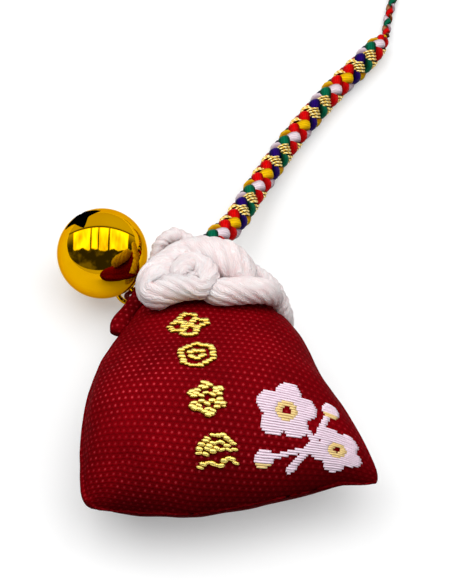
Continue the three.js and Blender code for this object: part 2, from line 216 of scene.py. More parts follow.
def applyModifier(piece, name, kind, **settings):
    pick(piece)
    made = piece.modifiers.new(name, kind)
    for key, value in settings.items():
        setattr(made, key, value)
    bpy.ops.object.modifier_apply(modifier=name)


# Material helpers

def feed(tree, made, values):  # links a socket, or sets a plain value
    for key, value in values.items():
        if isinstance(value, bpy.types.NodeSocket):
            tree.links.new(value, made.inputs[key])
        else:
            made.inputs[key].default_value = value


def newMaterial(name, values):
    material = bpy.data.materials.new(name)
    material.use_nodes = True
    tree = material.node_tree
    shader = tree.nodes["Principled BSDF"]
    feed(tree, shader, values)
    return material, tree, shader


def node(tree, kind, values=None, **settings):
    made = tree.nodes.new(kind)
    for key, value in settings.items():
        setattr(made, key, value)
    feed(tree, made, values or {})
    return made


def sums(tree, operation, a, b=0.0, c=0.0):
    return node(tree, "ShaderNodeMath", {0: a, 1: b, 2: c}, operation=operation).outputs[0]


def times(tree, a, b):
    return sums(tree, "MULTIPLY", a, b)


def scaled(tree, value, gain, start):  # value times gain, counted from start
    return sums(tree, "MULTIPLY_ADD", value, gain, start)


def vectors(tree, operation, a, b=(0, 0, 0), c=(0, 0, 0)):
    made = node(tree, "ShaderNodeVectorMath", {0: a, 1: b, 2: c}, operation=operation)
    return made.outputs["Value" if operation in ("LENGTH", "DOT_PRODUCT") else "Vector"]


def axes(tree, vector):
    return node(tree, "ShaderNodeSeparateXYZ", {0: vector}).outputs


def fade(tree, value, low, high, first=0.0, last=1.0, kind="SMOOTHSTEP"):  # first at low, last at high
    return node(tree, "ShaderNodeMapRange", {"Value": value, "From Min": low, "From Max": high,
                                             "To Min": first, "To Max": last}, interpolation_type=kind).outputs[0]


def objectPlace(tree):
    return node(tree, "ShaderNodeTexCoord").outputs["Object"]


def clouds(tree, place, scale, detail):
    return node(tree, "ShaderNodeTexNoise", {"Vector": place, "Scale": scale, "Detail": detail}).outputs["Fac"]


def ramp(tree, value, *stops):  # colours as they read on screen
    made = node(tree, "ShaderNodeValToRGB", {"Fac": value})
    bar = made.color_ramp
    while len(bar.elements) < len(stops):
        bar.elements.new(0.5)
    for element, (place, colour) in zip(bar.elements, stops):
        element.position = place
        element.color = linear(*colour)
    return made.outputs["Color"]


def mixColour(tree, share, a, b):
    return node(tree, "ShaderNodeMix", {0: share, 6: a, 7: b}, data_type="RGBA").outputs[2]


def bumpInto(tree, shader, height, strength, depth):  # depth in millimetres
    made = node(tree, "ShaderNodeBump", {"Height": height, "Strength": strength, "Distance": depth * mm})
    feed(tree, shader, {"Normal": made.outputs["Normal"]})


def mottledMaterial(name, scale, detail, dark, pale, values):  # two close tints in a fine cloud
    material, tree, shader = newMaterial(name, values)
    cloud = clouds(tree, objectPlace(tree), scale, detail)
    feed(tree, shader, {"Base Color": ramp(tree, cloud, (0.3, dark), (0.7, pale))})
    return material, tree, shader, cloud


def addGroup(name, inputs, outputs):
    group = bpy.data.node_groups.new(name, "ShaderNodeTree")
    for title, kind, value in inputs:
        socket = group.interface.new_socket(title, in_out="INPUT", socket_type=kind)
        if value is not None:
            socket.default_value = value
    for title, kind in outputs:
        group.interface.new_socket(title, in_out="OUTPUT", socket_type=kind)
    return group, group.nodes.new("NodeGroupInput").outputs, group.nodes.new("NodeGroupOutput")


# Threads: fine fibres that run along a strand, and the silk and tinsel made of them

fibreSpec = {"streak": (9.0, 0.7, 1.0), "second": 2.3, "secondShare": 0.5, "swing": 0.33}


def fibreGroup(spec):  # threads with a slant and some wander
    group, given, out = addGroup("strandFibres", [
        ("UV", "NodeSocketVector", None), ("Threads", "NodeSocketFloat", 12.0),
        ("Slant", "NodeSocketFloat", 0.2), ("Wander", "NodeSocketFloat", 0.15)],
        [("Height", "NodeSocketFloat"), ("Shade", "NodeSocketFloat")])
    turned, along = axes(group, given["UV"])[:2]
    cloud = clouds(group, vectors(group, "MULTIPLY", given["UV"], spec["streak"]), 1.0, 2.0)
    across = scaled(group, cloud, given["Wander"], scaled(group, along, given["Slant"], turned))
    turns = times(group, times(group, across, given["Threads"]), fullTurn)
    second = sums(group, "SINE", times(group, turns, spec["second"]))
    wave = scaled(group, second, spec["secondShare"], sums(group, "SINE", turns))
    feed(group, out, {"Height": scaled(group, wave, spec["swing"], 0.5), "Shade": cloud})
    return group


strandFibres = fibreGroup(fibreSpec)


def strandUv(tree):
    return node(tree, "ShaderNodeUVMap", uv_map="threadUv").outputs[0]


def fibres(tree, threads, slant, wander):  # height of the threads, and a cloud along them
    made = node(tree, "ShaderNodeGroup", node_tree=strandFibres)
    feed(tree, made, {"UV": strandUv(tree), "Threads": threads, "Slant": slant, "Wander": wander})
    return made.outputs["Height"], made.outputs["Shade"]


def strandEdge(tree):  # 0 on the strand's crown, a quarter of the way round, and 1 at its sides
    aside = sums(tree, "ABSOLUTE", sums(tree, "SUBTRACT", axes(tree, strandUv(tree))[0], 0.25))
    return fade(tree, aside, 0.02, 0.22)


def silkMaterial():  # dyed silk strands, the colour in the mesh
    material, tree, shader = newMaterial("dyedSilk", {"Roughness": 0.42, "Specular IOR Level": 0.03})
    dyed = node(tree, "ShaderNodeVertexColor", layer_name="threadTint").outputs
    height = fibres(tree, threads=14.0, slant=-0.05, wander=0.12)[0]
    deep = vectors(tree, "MULTIPLY", dyed["Color"], dyed["Color"])
    deep = mixColour(tree, 0.6, deep, (0, 0, 0, 1))  # painted shade: light lost between the threads, in a deeper tone of their own colour
    body = mixColour(tree, scaled(tree, height, 0.55, 0.45), deep, dyed["Color"])
    # painted shade on the sides of each strand, where it turns into the gaps
    body = mixColour(tree, times(tree, strandEdge(tree), dyed["Alpha"]), body, deep)
    feed(tree, shader, {"Base Color": body})
    bumpInto(tree, shader, height, strength=0.6, depth=0.07)
    return material


def tinselMaterial():  # gold yarn wound from flat metal foil
    material, tree, shader = newMaterial("goldTinsel", {"Metallic": 0.8})
    height, shade = fibres(tree, threads=1.0, slant=-1.6, wander=0.25)
    # painted highlight and shade: pale on the crown of each foil turn, brown in the grooves
    body = ramp(tree, height, (0.1, (186, 136, 40)), (0.4, (236, 194, 84)), (0.85, (255, 244, 176)))
    feed(tree, shader, {"Base Color": body, "Roughness": scaled(tree, shade, 0.3, 0.15)})
    bumpInto(tree, shader, height, strength=0.7, depth=0.08)
    return material


dyedSilk = silkMaterial()
goldTinsel = tinselMaterial()
print("thread materials made")


# Strap: an eight-strand round braid that thins into a four-strand cord with a hanging loop

strapSpec = {
    "route": [(0, 14.2, 7.4), (0, 18.4, 7.4), (0.9, 21, 7.3), (3.1, 24, 6.6), (6.05, 27.4, 5.3),
              (11.97, 36.8, 3.2), (18.48, 45.6, 2.2), (25.6, 53.4, 1.98), (30.4, 57.9, 1.95),
              (33.3, 61.1, 1.9), (34.4, 62.5, 1.6)],
    "diameter": 3.7, "endDiameter": 1.45, "taper": 3.4, "taperPower": 0.75, "step": 0.3, "pathStep": 1.6,
    "lead": 11.64, "firstRow": 14.85, "turn": 0.14, "width": 1.72, "thick": 1.1, "sway": 0.46, "sides": 12,
    "right": ["yellow", "gold", "gold", "white"], "left": ["navy", "green", "red", "red"],
}
cordSpec = {
    "leg": [(34.72, 63.02, 1.43), (35.3, 65, 1.0), (35.98, 67.3, 0.85), (37.4, 71, 0.82), (38.6, 74.5, 0.82),
            (39.4, 78, 0.82), (39.75, 80.4, 0.95)],
    "eye": [(40.35, 82.75, 0.82), (42, 87.5, 0.82), (44.2, 92.5, 0.82), (45.2, 97.5, 0.82), (44.2, 102, 0.82),
            (41, 104.6, 0.82), (37.2, 103.6, 0.82), (35.4, 100, 0.82), (35.4, 95, 0.82), (36.4, 90, 0.82),
            (37.7, 86, 0.82), (38.65, 82.95, 0.82)],
    "tail": (39.2, 81.2, 1.5),
    "diameter": 1.45, "endDiameter": 1.45, "taper": 1.0, "taperPower": 0.75, "step": 0.2, "pathStep": 1.8,
    "lead": 4.7, "firstRow": 0.8, "turn": 0.0, "width": 0.98, "thick": 0.46, "sway": 0.2, "sides": 8,
    "right": ["red", "green"], "left": ["white", "tan"],
}
yarnSpec = {"lanes": (-1.5, -0.5, 0.5, 1.5), "fill": 0.84, "rise": 0.36, "droop": 0.1, "core": 0.7, "sides": 6}
threadTints = {"red": linear(230, 0, 2), "green": linear(0, 112, 78), "navy": linear(38, 2, 110),
               "yellow": linear(255, 206, 0), "white": linear(252, 234, 242), "tan": linear(196, 140, 100),
               # the gold strands' core is real; its near-black tint is painted shade in the gaps between the metal
               # yarns
               "core": linear(34, 18, 6)}


def plainTint(colour):  # no alpha, so the sides of the strand get no painted shade
    return colour[:3] + (0,)


def addBraid(part, points, length, spec):  # two sets of strands wind opposite ways, over and under each other
    normal, side = framesAlong(points, towardsCamera)
    along = np.linspace(0, length, len(points))
    full = np.clip((length - along) / spec["taper"], 0, 1) ** spec["taperPower"]
    slim = spec["endDiameter"] / spec["diameter"] * (1 - full) + full
    middle = spec["diameter"] / 2 - spec["sway"] - spec["thick"] / 2
    for names, way in ((spec["right"], 1), (spec["left"], -1)):
        many = len(names)
        for k, name in enumerate(names):
            row = spec["firstRow"] + (k if way > 0 else k + 0.5) * spec["lead"] / many
            start = 0 if way > 0 else math.pi / many
            theta = start + way * fullTurn * (along - row) / spec["lead"]
            reach = (middle + way * spec["sway"] * np.cos(many * theta)) * slim
            seen = theta + spec["turn"]
            out = np.cos(seen)[:, None] * normal + np.sin(seen)[:, None] * side
            centre = points + reach[:, None] * out
            heading = unit(np.gradient(centre, axis=0))
            out = unit(out - (out * heading).sum(1)[:, None] * heading)
            beside = np.cross(out, heading)
            gold = name == "gold"
            thick = spec["thick"] * (yarnSpec["core"] if gold else 1)
            rings = tubeRings(centre, beside, out, spec["sides"], slim * spec["width"] / 2, slim * thick / 2)
            # a gold strand's core takes the near-black tint, painted shade between its yarns
            addRings(part, rings, tint=threadTints["core" if gold else name])
            if gold:
                addYarns(part, centre, out, beside, slim, spec)


def addYarns(part, centre, out, beside, slim, spec):  # a metal strand is four round yarns laid side by side
    pitch = spec["width"] / len(yarnSpec["lanes"])
    for lane in yarnSpec["lanes"]:
        rise = spec["thick"] * (yarnSpec["rise"] - yarnSpec["droop"] * abs(lane))
        core = centre + (slim * lane * pitch)[:, None] * beside + (slim * rise)[:, None] * out
        rings = tubeRings(core, beside, out, yarnSpec["sides"], slim * pitch / 2 * yarnSpec["fill"])
        addRings(part, rings, slot=1)


def makeStrap(spec):
    points, length = routeThrough(spec["route"], spec["step"])
    part = newPart()
    addBraid(part, points, length, spec)
    strap = makePiece(part, "strapBraid", [dyedSilk, goldTinsel])
    settle(strap, "strap", "braid", "strap_braid")
    path = routeThrough(spec["route"], spec["pathStep"])[0] * mm
    return length


def makeLoop(spec):
    route = spec["leg"] + spec["eye"] + [spec["tail"]]
    points, length = routeThrough(route, spec["step"])
    part = newPart()
    addBraid(part, points, length, spec)
    loop = makePiece(part, "hangingLoop", [dyedSilk])
    settle(loop, "strap", "braid", "strap_leg", "hang_loop")
    return loop, routeThrough(route, spec["pathStep"])[0] * mm, length


strapLength = makeStrap(strapSpec)
hangingLoop, loopPath, loopLength = makeLoop(cordSpec)
print("braid", round(strapLength, 2), "mm, loop cord", round(loopLength, 2), "mm")

knotSpec = {"start": (39.44, 78.3, 1.85), "end": (39.62, 82.4, 1.85), "turns": 3.2, "winding": 1.15, "cord": 1.25,
            "swell": 0.28, "inset": 0.12, "tipSize": 0.35, "tipRun": 12, "points": 90, "sides": 10}


def makeLoopKnot(spec):  # a barrel of turns drawn tight round both legs of the loop
    start, end = np.array(spec["start"]), np.array(spec["end"])
    axis = unit(end - start)
    flat = unit(np.cross(axis, (0, 0, 1)))
    rise = np.cross(flat, axis)
    share = np.linspace(0, 1, spec["points"])
    turn = share * spec["turns"] * fullTurn
    reach = spec["winding"] * (1 - spec["swell"] + spec["swell"] * np.sin(share * math.pi))
    inset = spec["inset"] + (1 - 2 * spec["inset"]) * share
    out = np.cos(turn)[:, None] * flat + np.sin(turn)[:, None] * rise
    coil = start + inset[:, None] * (end - start) + reach[:, None] * out
    normal, side = framesAlong(coil)
    thick = spec["cord"] / 2 * np.clip(np.minimum(share, 1 - share) * spec["tipRun"] + spec["tipSize"], 0, 1)
    part = newPart()
    addRings(part, tubeRings(coil, normal, side, spec["sides"], thick), tint=plainTint(threadTints["red"]))
    knot = makePiece(part, "loopKnot", [dyedSilk])
    settle(knot, "strap", "braid", "loop_knot")
    return knot


loopKnot = makeLoopKnot(knotSpec)
print("strap done")


# Pouch cloth: one closed skin from the bottom fold to the hem of the frill, and back inside the neck

pouchSpec = {  # pairs are for the left and the right half
    "bottom": -15.95, "neck": 15.4, "mouth": 18.7, "table": 0.02, "columns": 72, "rows": 84,
    "baseHalfWidth": 18.5, "neckHalfWidth": 5.6, "neckHalfHeight": 3.5, "neckRise": 7.4, "seamRise": 8.5,
    "crown": 9.4, "depth": 9.8, "crownAt": -3.6, "power": 2.3, "fullness": (2.6, 1.25), "climb": 1.15,
    "bulge": 2.3, "lowest": -0.22, "bulgePower": (1.5, 1.3),
    "cornerRun": (3.4, 2.4), "cornerDraw": (2.2, 1.0), "cornerDrop": (0.0, 0.9), "dropFrom": 0.72,
    "shoulder": {"amount": (-0.4, 1.9), "at": (-9.0, 7.0), "spread": (6.0, 6.0), "gathered": 5.0},
    "pleats": 9, "pleatDepth": 0.35, "pleatRun": 7.0,
    "frill": {"reach": 1.2, "rightShare": 0.4, "flatten": 0.35, "steps": (0.35, 0.7, 1.0),
              "ripple": 0.35, "ripples": 7},
    "mouthTurn": [(0.93, 0.15), (0.84, 0.5), (0.66, 0.9), (0.46, 1.3), (0.32, 1.8)],  # drawn in, and how far back
    "gathers": 15, "gatherDepth": 0.35, "gatherDip": 0.5,
    "inflate": {"scale": 25.0, "frames": 16, "cap": 0.45, "firmRows": 6, "firmColumns": 2, "cloth": {
        "quality": 6, "mass": 0.3, "tension_stiffness": 12, "compression_stiffness": 12, "bending_stiffness": 0.4,
        "use_pressure": True, "uniform_pressure_force": 3.0, "shrink_min": -0.012}},
    "dents": [(0.22, 0.16, (0, 0, 0)), (0.1, 0.42, (9, 2, 4))], "dentMiddle": -2.0, "dentFade": (4, 14),
    "crease": {"start": (-16.5, -15.5), "heading": (0.78, 0.62), "depth": 0.45, "width": 0.9,
               "middle": 4.0, "run": 4.5, "belowSeam": 3.0},  # diagonal, at the lower left
}


def clamp(t):
    return min(1.0, max(0.0, t))


def ease(t):
    t = clamp(t)
    return t * t * (3 - 2 * t)


def clothPoint(angle, y, spec):  # angle 0 is the right seam, pi the left one, past pi the back
    layer = 1 if angle <= math.pi else -1
    bottom, neck, crownAt, lowest = spec["bottom"], spec["neck"], spec["crownAt"], spec["lowest"]
    across = math.cos(angle)
    half, way = (0, -1) if across < 0 else (1, 1)
    up = clamp((y - bottom) / (neck - bottom))
    down = clamp((crownAt - y) / (crownAt - bottom))
    climb = (y - crownAt) / (neck - crownAt)
    corner = clamp((y - bottom) / spec["cornerRun"][half])
    gain = (spec["baseHalfWidth"] - spec["neckHalfWidth"]) * (1 - up ** spec["fullness"][half])
    drawn = spec["cornerDraw"][half] * (1 - math.sqrt(1 - (1 - corner) ** 2))
    shoulder = spec["shoulder"]
    swell = shoulder["amount"][half] * math.exp(-((y - shoulder["at"][half]) / shoulder["spread"][half]) ** 2)
    swell *= 1 - ease((y - neck + shoulder["gathered"]) / shoulder["gathered"])
    width = spec["neckHalfWidth"] + gain - drawn + swell
    share = abs(across) ** (2 / spec["power"])
    rise = abs(math.sin(angle)) ** (2 / spec["power"])
    seam = spec["seamRise"] + (spec["neckRise"] - spec["seamRise"]) * ease(climb)
    full = spec["crown"] if layer > 0 else spec["depth"]
    if y < crownAt:
        high = full * math.sqrt(1 - down ** 2)
    else:
        shut = clamp(climb) ** spec["climb"]
        loose, tied = spec["seamRise"] + layer * full, spec["neckRise"] + layer * spec["neckHalfHeight"]
        high = layer * (loose * (1 - shut) + tied * shut - seam)
    aside = way * share - lowest
    hang = aside / (1 - lowest) if aside > 0 else -aside / (1 + lowest)
    bulge = spec["bulge"] * (1 - hang ** spec["bulgePower"][1 if aside > 0 else 0])
    bulge += spec["cornerDrop"][half] * ease((share - spec["dropFrom"]) / (1 - spec["dropFrom"]))
    pleat = spec["pleatDepth"] * ease((y - neck + spec["pleatRun"]) / spec["pleatRun"]) * rise
    pleat *= math.cos(spec["pleats"] * 2 * angle + math.sin(3 * angle))
    z = seam + layer * (max(0, high) * rise + pleat)
    return (way * width * share, y - bulge * down ** 2, max(z, spec["table"]))


def pouchRows(spec):
    angles = np.arange(2 * spec["columns"]) / spec["columns"] * math.pi
    rows = []
    for i in range(spec["rows"] + 1):
        up = 1 - math.cos(i / spec["rows"] * math.pi / 2)
        y = spec["bottom"] + (spec["neck"] - spec["bottom"]) * up
        rows.append([clothPoint(a, y, spec) for a in angles])
    neck = np.array(rows[-1])
    frill = spec["frill"]
    for share in frill["steps"]:
        rows.append(neck + np.array((0, (spec["mouth"] - spec["neck"]) * share, 0)))
    mouth = rows[-1]
    out = np.stack([np.cos(angles), np.abs(np.sin(angles)), frill["flatten"] * np.sin(angles)], 1)
    reach = frill["reach"] * (frill["rightShare"] + (1 - frill["rightShare"]) * (1 - np.cos(angles)) / 2)
    for share in frill["steps"]:
        flare = reach[:, None] * share * out
        flare[:, 2] += frill["ripple"] * np.sin(angles * frill["ripples"]) * share
        rows.append(mouth + flare)
    hem = rows[-1]
    gather = np.cos(spec["gathers"] * angles)
    for turn, (pull, back) in enumerate(spec["mouthTurn"]):  # back inside, and drawn in round the strap
        inner = (mouth if turn else hem).copy()
        narrow = pull * (1 + spec["gatherDepth"] * (1 - pull) * gather)
        inner[:, 0] *= narrow
        inner[:, 1] -= back + spec["gatherDip"] * (1 - pull) * gather
        inner[:, 2] = spec["neckRise"] + (inner[:, 2] - spec["neckRise"]) * narrow
        rows.append(inner)
    return np.array(rows, dtype=float)


def pouchFaces(rows):
    count = rows.shape[1]
    faces = []
    for r in range(len(rows) - 1):
        for c in range(count):
            d = (c + 1) % count
            faces.append((r * count + c, r * count + d, (r + 1) * count + d, (r + 1) * count + c))
    faces.append(tuple((len(rows) - 1) * count + c for c in range(count)))
    return faces


def inflatePouch(rows, faces, spec):  # light cloth simulation, ties and fold held, so the stuffing rounds the skin
    air = spec["inflate"]
    count = rows.shape[1]
    flat = rows.reshape(-1, 3)
    mesh = bpy.data.meshes.new("pouchTrial")
    mesh.from_pydata((flat * mm * air["scale"]).tolist(), [], faces[:-1])
    trial = bpy.data.objects.new("pouchTrial", mesh)
    scene.collection.objects.link(trial)
    held = trial.vertex_groups.new(name="held")
    firm = list(range(count)) + list(range((spec["rows"] - air["firmRows"]) * count, len(flat)))
    near = range(-air["firmColumns"], air["firmColumns"] + 1)
    for seam in (0, spec["columns"]):  # the side seams keep the outline
        firm += [r * count + (seam + k) % count for r in range(spec["rows"]) for k in near]
    held.add(firm, 1.0, "REPLACE")
    cloth = trial.modifiers.new("cloth", "CLOTH")
    for key, value in air["cloth"].items():
        setattr(cloth.settings, key, value)
    cloth.settings.vertex_group_mass = "held"
    cloth.settings.effector_weights.gravity = 0
    cloth.collision_settings.use_collision = False
    cloth.point_cache.frame_start = 1
    cloth.point_cache.frame_end = air["frames"]
    for number in range(1, air["frames"] + 1):
        scene.frame_set(number)
    done = trial.evaluated_get(bpy.context.evaluated_depsgraph_get()).to_mesh()
    moved = np.empty(len(flat) * 3)
    done.vertices.foreach_get("co", moved)
    moved = moved.reshape(-1, 3) / mm / air["scale"] - flat
    trial.to_mesh_clear()
    scene.frame_set(1)
    bpy.data.objects.remove(trial)
    size = np.linalg.norm(moved, axis=1, keepdims=True)
    moved *= np.minimum(1, air["cap"] / np.maximum(size, 1e-6))
    print("pouch inflated, moves up to", round(float(size.max()), 2), "mm, mean", round(float(size.mean()), 3))
    swollen = (flat + moved).reshape(rows.shape)
    swollen[..., 2] = np.maximum(swollen[..., 2], spec["table"])
    return swollen


def crumple(rows, spec):  # soft dents and the crease that the stuffing leaves
    out = rows.copy()
    middle = np.array((0, spec["dentMiddle"], spec["seamRise"]))
    fold = spec["crease"]
    ahead, beside = fold["heading"]
    low, high = spec["dentFade"]
    body = spec["rows"] + 1
    for r in range(1, body):
        for c in range(rows.shape[1]):
            p = rows[r, c]
            push = sum(deep * noise.noise(Vector(p) * scale + Vector(shift))
                       for deep, scale, shift in spec["dents"])
            x, y = p[0] - fold["start"][0], p[1] - fold["start"][1]
            if p[2] > spec["seamRise"] - fold["belowSeam"]:
                off, along = x * beside - y * ahead, x * ahead + y * beside
                push -= (fold["depth"] * math.exp(-(off / fold["width"]) ** 2)
                         * math.exp(-((along - fold["middle"]) / fold["run"]) ** 2))
            away = p - middle
            push *= min(1, (body - r) / high) * min(1, r / low)
            out[r, c] += push * away / max(1e-6, np.linalg.norm(away))
    out[..., 2] = np.maximum(out[..., 2], spec["table"])
    return out


def clothUvs(rows, spec):  # millimetres along the cloth, from the middle of the front and from the bottom fold
    front = spec["columns"] // 2
    across = np.array([runAlong(line) for line in np.concatenate([rows, rows[:, :1]], 1)])
    return across[:, front][:, None] - across, runAlong(rows[:, front])


clothRows = pouchRows(pouchSpec)
clothFaces = pouchFaces(clothRows)
clothRows = inflatePouch(clothRows, clothFaces, pouchSpec)
clothRows = crumple(clothRows, pouchSpec)
clothAcross, clothUp = clothUvs(clothRows, pouchSpec)

clothSpec = {
    "repeat": (0.87, 1.72), "bias": 0.25, "dot": (0.06, 0.21), "dotTint": (212, 62, 72), "hollow": (0.14, 0.5),
    "red": ((108, 0, 6), (140, 0, 10)), "mottle": (160.0, 3.0), "warps": 3, "ribs": 4,
    # painted shade: the ground between the dots and the rib lines is darkened towards a deep red
    "sunk": {"tint": (62, 0, 3), "rib": 0.08, "hollow": 0.5},
    "relief": {"hollow": 0.6, "rib": 0.16, "warp": 0.1, "depth": 0.14},
    # the dots are the weave's own; their fading away from a middle point is painted sheen, their patches and
    # strengths vary at random
    "shownDots": {"middle": (-4.0, 13.0), "stretch": (1, 0.8), "reach": (9.0, 19.0), "least": 0.3,
                  "patches": (90.0, 1.0), "patchShow": (0.35, 0.62, 0.35, 0.95), "strength": (0.4, 1.0)},
    # painted shade: this entry darkens the cloth and dims its dots towards the bottom fold
    "paintedLowShade": {"rise": (2.0, 11.5), "lean": -0.13, "tint": (46, 0, 2), "share": 0.52, "dots": 0.6},
}


def brocadeMaterial(spec):  # red figured weave with a pale point of ground at each crossing
    material, tree, shader = newMaterial("redBrocade", {"Roughness": 0.7, "Specular IOR Level": 0.01})
    flat = node(tree, "ShaderNodeUVMap", uv_map="clothUv").outputs[0]
    uv = node(tree, "ShaderNodeVectorRotate", {"Vector": flat, "Angle": spec["bias"]},
              rotation_type="Z_AXIS").outputs[0]
    wide, high = spec["repeat"]
    dots, sunk, relief, lowShade = spec["shownDots"], spec["sunk"], spec["relief"], spec["paintedLowShade"]

    def crossings(shift):  # distance to the nearest point of one lattice, and a dot of its own strength there
        cell = vectors(tree, "MULTIPLY_ADD", uv, (1 / wide, 1 / high, 0), (shift, shift, 0))
        away = vectors(tree, "SUBTRACT", vectors(tree, "FRACTION", cell), (0.5, 0.5, 0))
        far = vectors(tree, "LENGTH", vectors(tree, "MULTIPLY", away, (wide, high, 0)))
        lot = node(tree, "ShaderNodeTexWhiteNoise", {"Vector": vectors(tree, "FLOOR", cell)}, noise_dimensions="2D")
        strength = fade(tree, lot.outputs["Value"], 0.0, 1.0, *dots["strength"], "LINEAR")
        return far, times(tree, fade(tree, far, *spec["dot"], 1.0, 0.0), strength)

    (farA, dotA), (farB, dotB) = crossings(0.0), crossings(0.5)
    hollow = fade(tree, sums(tree, "MINIMUM", farA, farB), *spec["hollow"], kind="LINEAR")
    along, up = axes(tree, uv)[:2]
    warp = sums(tree, "SINE", times(tree, along, fullTurn * spec["warps"] / wide))
    rib = sums(tree, "SINE", times(tree, up, fullTurn * spec["ribs"] / high))
    place = objectPlace(tree)
    dark, pale = spec["red"]
    base = ramp(tree, clouds(tree, place, *spec["mottle"]), (0.25, dark), (0.75, pale))
    # painted shade in the hollows between the dots and along the ribs
    shade = scaled(tree, rib, sunk["rib"], scaled(tree, hollow, sunk["hollow"], -sunk["rib"]))
    base = mixColour(tree, shade, base, linear(*sunk["tint"]))
    spread, rise = axes(tree, flat)[:2]
    rise = scaled(tree, sums(tree, "MINIMUM", spread, 0.0), lowShade["lean"], rise)
    turned = fade(tree, rise, *lowShade["rise"], 1.0, 0.0)  # painted shade: the colour darkens towards the bottom fold, where the cloth turns away from the light
    base = mixColour(tree, times(tree, turned, lowShade["share"]), base, linear(*lowShade["tint"]))
    show = fade(tree, clouds(tree, place, *dots["patches"]), *dots["patchShow"], "LINEAR")
    (u, v), (su, sv) = dots["middle"], dots["stretch"]  # they show most about here; this fading away from the middle is painted sheen, the dots brightest where the front faces up to the light
    away = vectors(tree, "LENGTH", vectors(tree, "MULTIPLY_ADD", flat, (su, sv, 0), (-u, -v, 0)))
    show = times(tree, show, fade(tree, away, *dots["reach"], 1.0, dots["least"]))
    # painted shade also dims the dots towards the bottom fold
    show = times(tree, show, scaled(tree, turned, -lowShade["dots"], 1.0))
    dot = times(tree, sums(tree, "MAXIMUM", dotA, dotB), show)
    feed(tree, shader, {"Base Color": mixColour(tree, dot, base, linear(*spec["dotTint"]))})
    height = scaled(tree, rib, relief["rib"], times(tree, warp, relief["warp"]))
    height = scaled(tree, hollow, relief["hollow"], height)
    bumpInto(tree, shader, height, strength=0.5, depth=relief["depth"])
    return material


redBrocade = brocadeMaterial(clothSpec)

tuckSpec = {"route": [(-7.0, 18.6, 7.0, 0.6), (-7.8, 16.0, 7.4, 0.95), (-9.5, 13.1, 7.8, 1.1),
                      (-11.0, 11.1, 7.9, 1.2), (-11.6, 9.8, 7.9, 0.8)],  # x, y, z and radius
            "step": 0.5, "sides": 14, "wide": 1.1, "high": 0.8, "spread": 8.0}


def tuckRings(spec):  # a tuck of the same cloth that stands out at the left of the neck
    points, radius = np.split(routeThrough(spec["route"], spec["step"])[0], [3], 1)
    normal, side = framesAlong(points, np.array((0, 0, 1.0)))
    return tubeRings(points, side, normal, spec["sides"], radius * spec["wide"], radius * spec["high"])


def makePouch(rows, faces):
    count = rows.shape[1]
    mesh = bpy.data.meshes.new("pouch")
    tuck = newPart()
    addRings(tuck, tuckRings(tuckSpec), spread=tuckSpec["spread"])
    base = rows.shape[0] * count
    more = [tuple(base + k for k in face) for face in tuck["faces"]]
    corners = np.vstack([rows.reshape(-1, 3), tuck["verts"][0]])
    mesh.from_pydata((corners * mm).tolist(), [], faces + more)
    mesh.materials.append(redBrocade)
    uv = mesh.uv_layers.new(name="clothUv")
    flat = []
    for face in faces[:-1]:
        for k, corner in enumerate(face):
            r, c = divmod(corner, count)
            wrap = k in (1, 2) and c == 0
            flat += [clothAcross[r, count if wrap else c], clothUp[r]]
    flat += [n for corner in faces[-1] for n in (clothAcross[-1, corner % count], clothUp[-1])]
    flat += [n for face in tuck["uvs"] for pair in face for n in pair]
    uv.data.foreach_set("uv", flat)
    mesh.polygons.foreach_set("use_smooth", [True] * len(mesh.polygons))
    pouch = bpy.data.objects.new("pouch", mesh)
    scene.collection.objects.link(pouch)
    mendMesh(pouch, 0.03)
    settle(pouch, "pouch", "brocade", "front_panel", "back_panel", "wadding_front", "wadding_back")
    return pouch


pouch = makePouch(clothRows, clothFaces)
print("pouch made,", len(pouch.data.polygons), "faces")


def onFront(u, v, lift):  # a point over the front cloth, u and v in cloth millimetres
    half = pouchSpec["columns"]
    r = int(np.clip(np.searchsorted(clothUp, v) - 1, 0, pouchSpec["rows"] - 1))
    t = (v - clothUp[r]) / (clothUp[r + 1] - clothUp[r])
    ends = []
    for row in (r, r + 1):
        line = clothAcross[row, :half + 1][::-1]
        place = np.interp(u, line, np.arange(half, -1, -1.0))
        k = int(min(half - 1, max(0, math.floor(place))))
        ends.append(clothRows[row, k] + (clothRows[row, k + 1] - clothRows[row, k]) * (place - k))
    k = int(min(half - 2, max(1, math.floor(place))))
    normal = unit(np.cross(clothRows[r, k - 1] - clothRows[r, k + 1], clothRows[r + 1, k] - clothRows[r, k]))
    return ends[0] + (ends[1] - ends[0]) * t + lift * normal


# Woven figure: plum blossom on the lower right of the front, in rows of floating weft

figureSpec = {
    "row": 0.33, "cell": 0.22, "box": ((1.5, 21.5), (0.5, 17.0)),
    "blossoms": [(6.9, 11.3, 4.1, 0.3), (13.9, 7.2, 3.6, 0.9)],  # place, size and turn
    "petals": 5, "petalAt": 0.56, "petalReach": 0.4042, "eye": 0.13, "heart": 0.33,
    "buds": [(12.6, 13.0, 1.25), (4.9, 4.8, 1.2)], "budCup": 0.45,
    "twigs": [((8.4, 3.6), (10.9, 7.8), 0.5), ((10.9, 7.8), (12.2, 12.0), 0.42), ((10.2, 6.6), (5.6, 5.0), 0.36),
              ((10.9, 7.8), (9.2, 9.6), 0.4)],  # two ends and half the width
    "float": {"step": 0.42, "half": 0.52, "thick": 0.17, "tieEvery": 7, "tieShift": 3, "tied": 0.55, "even": 0.86,
              "section": [(1, 0, 0.0), (0.6, 0.85, 0.0), (-0.6, 1, 0.0), (-1, 0, 0.0), (0, 0, -0.06)]},
    "tints": {"white": linear(252, 232, 246), "yellow": linear(250, 222, 150)},
}


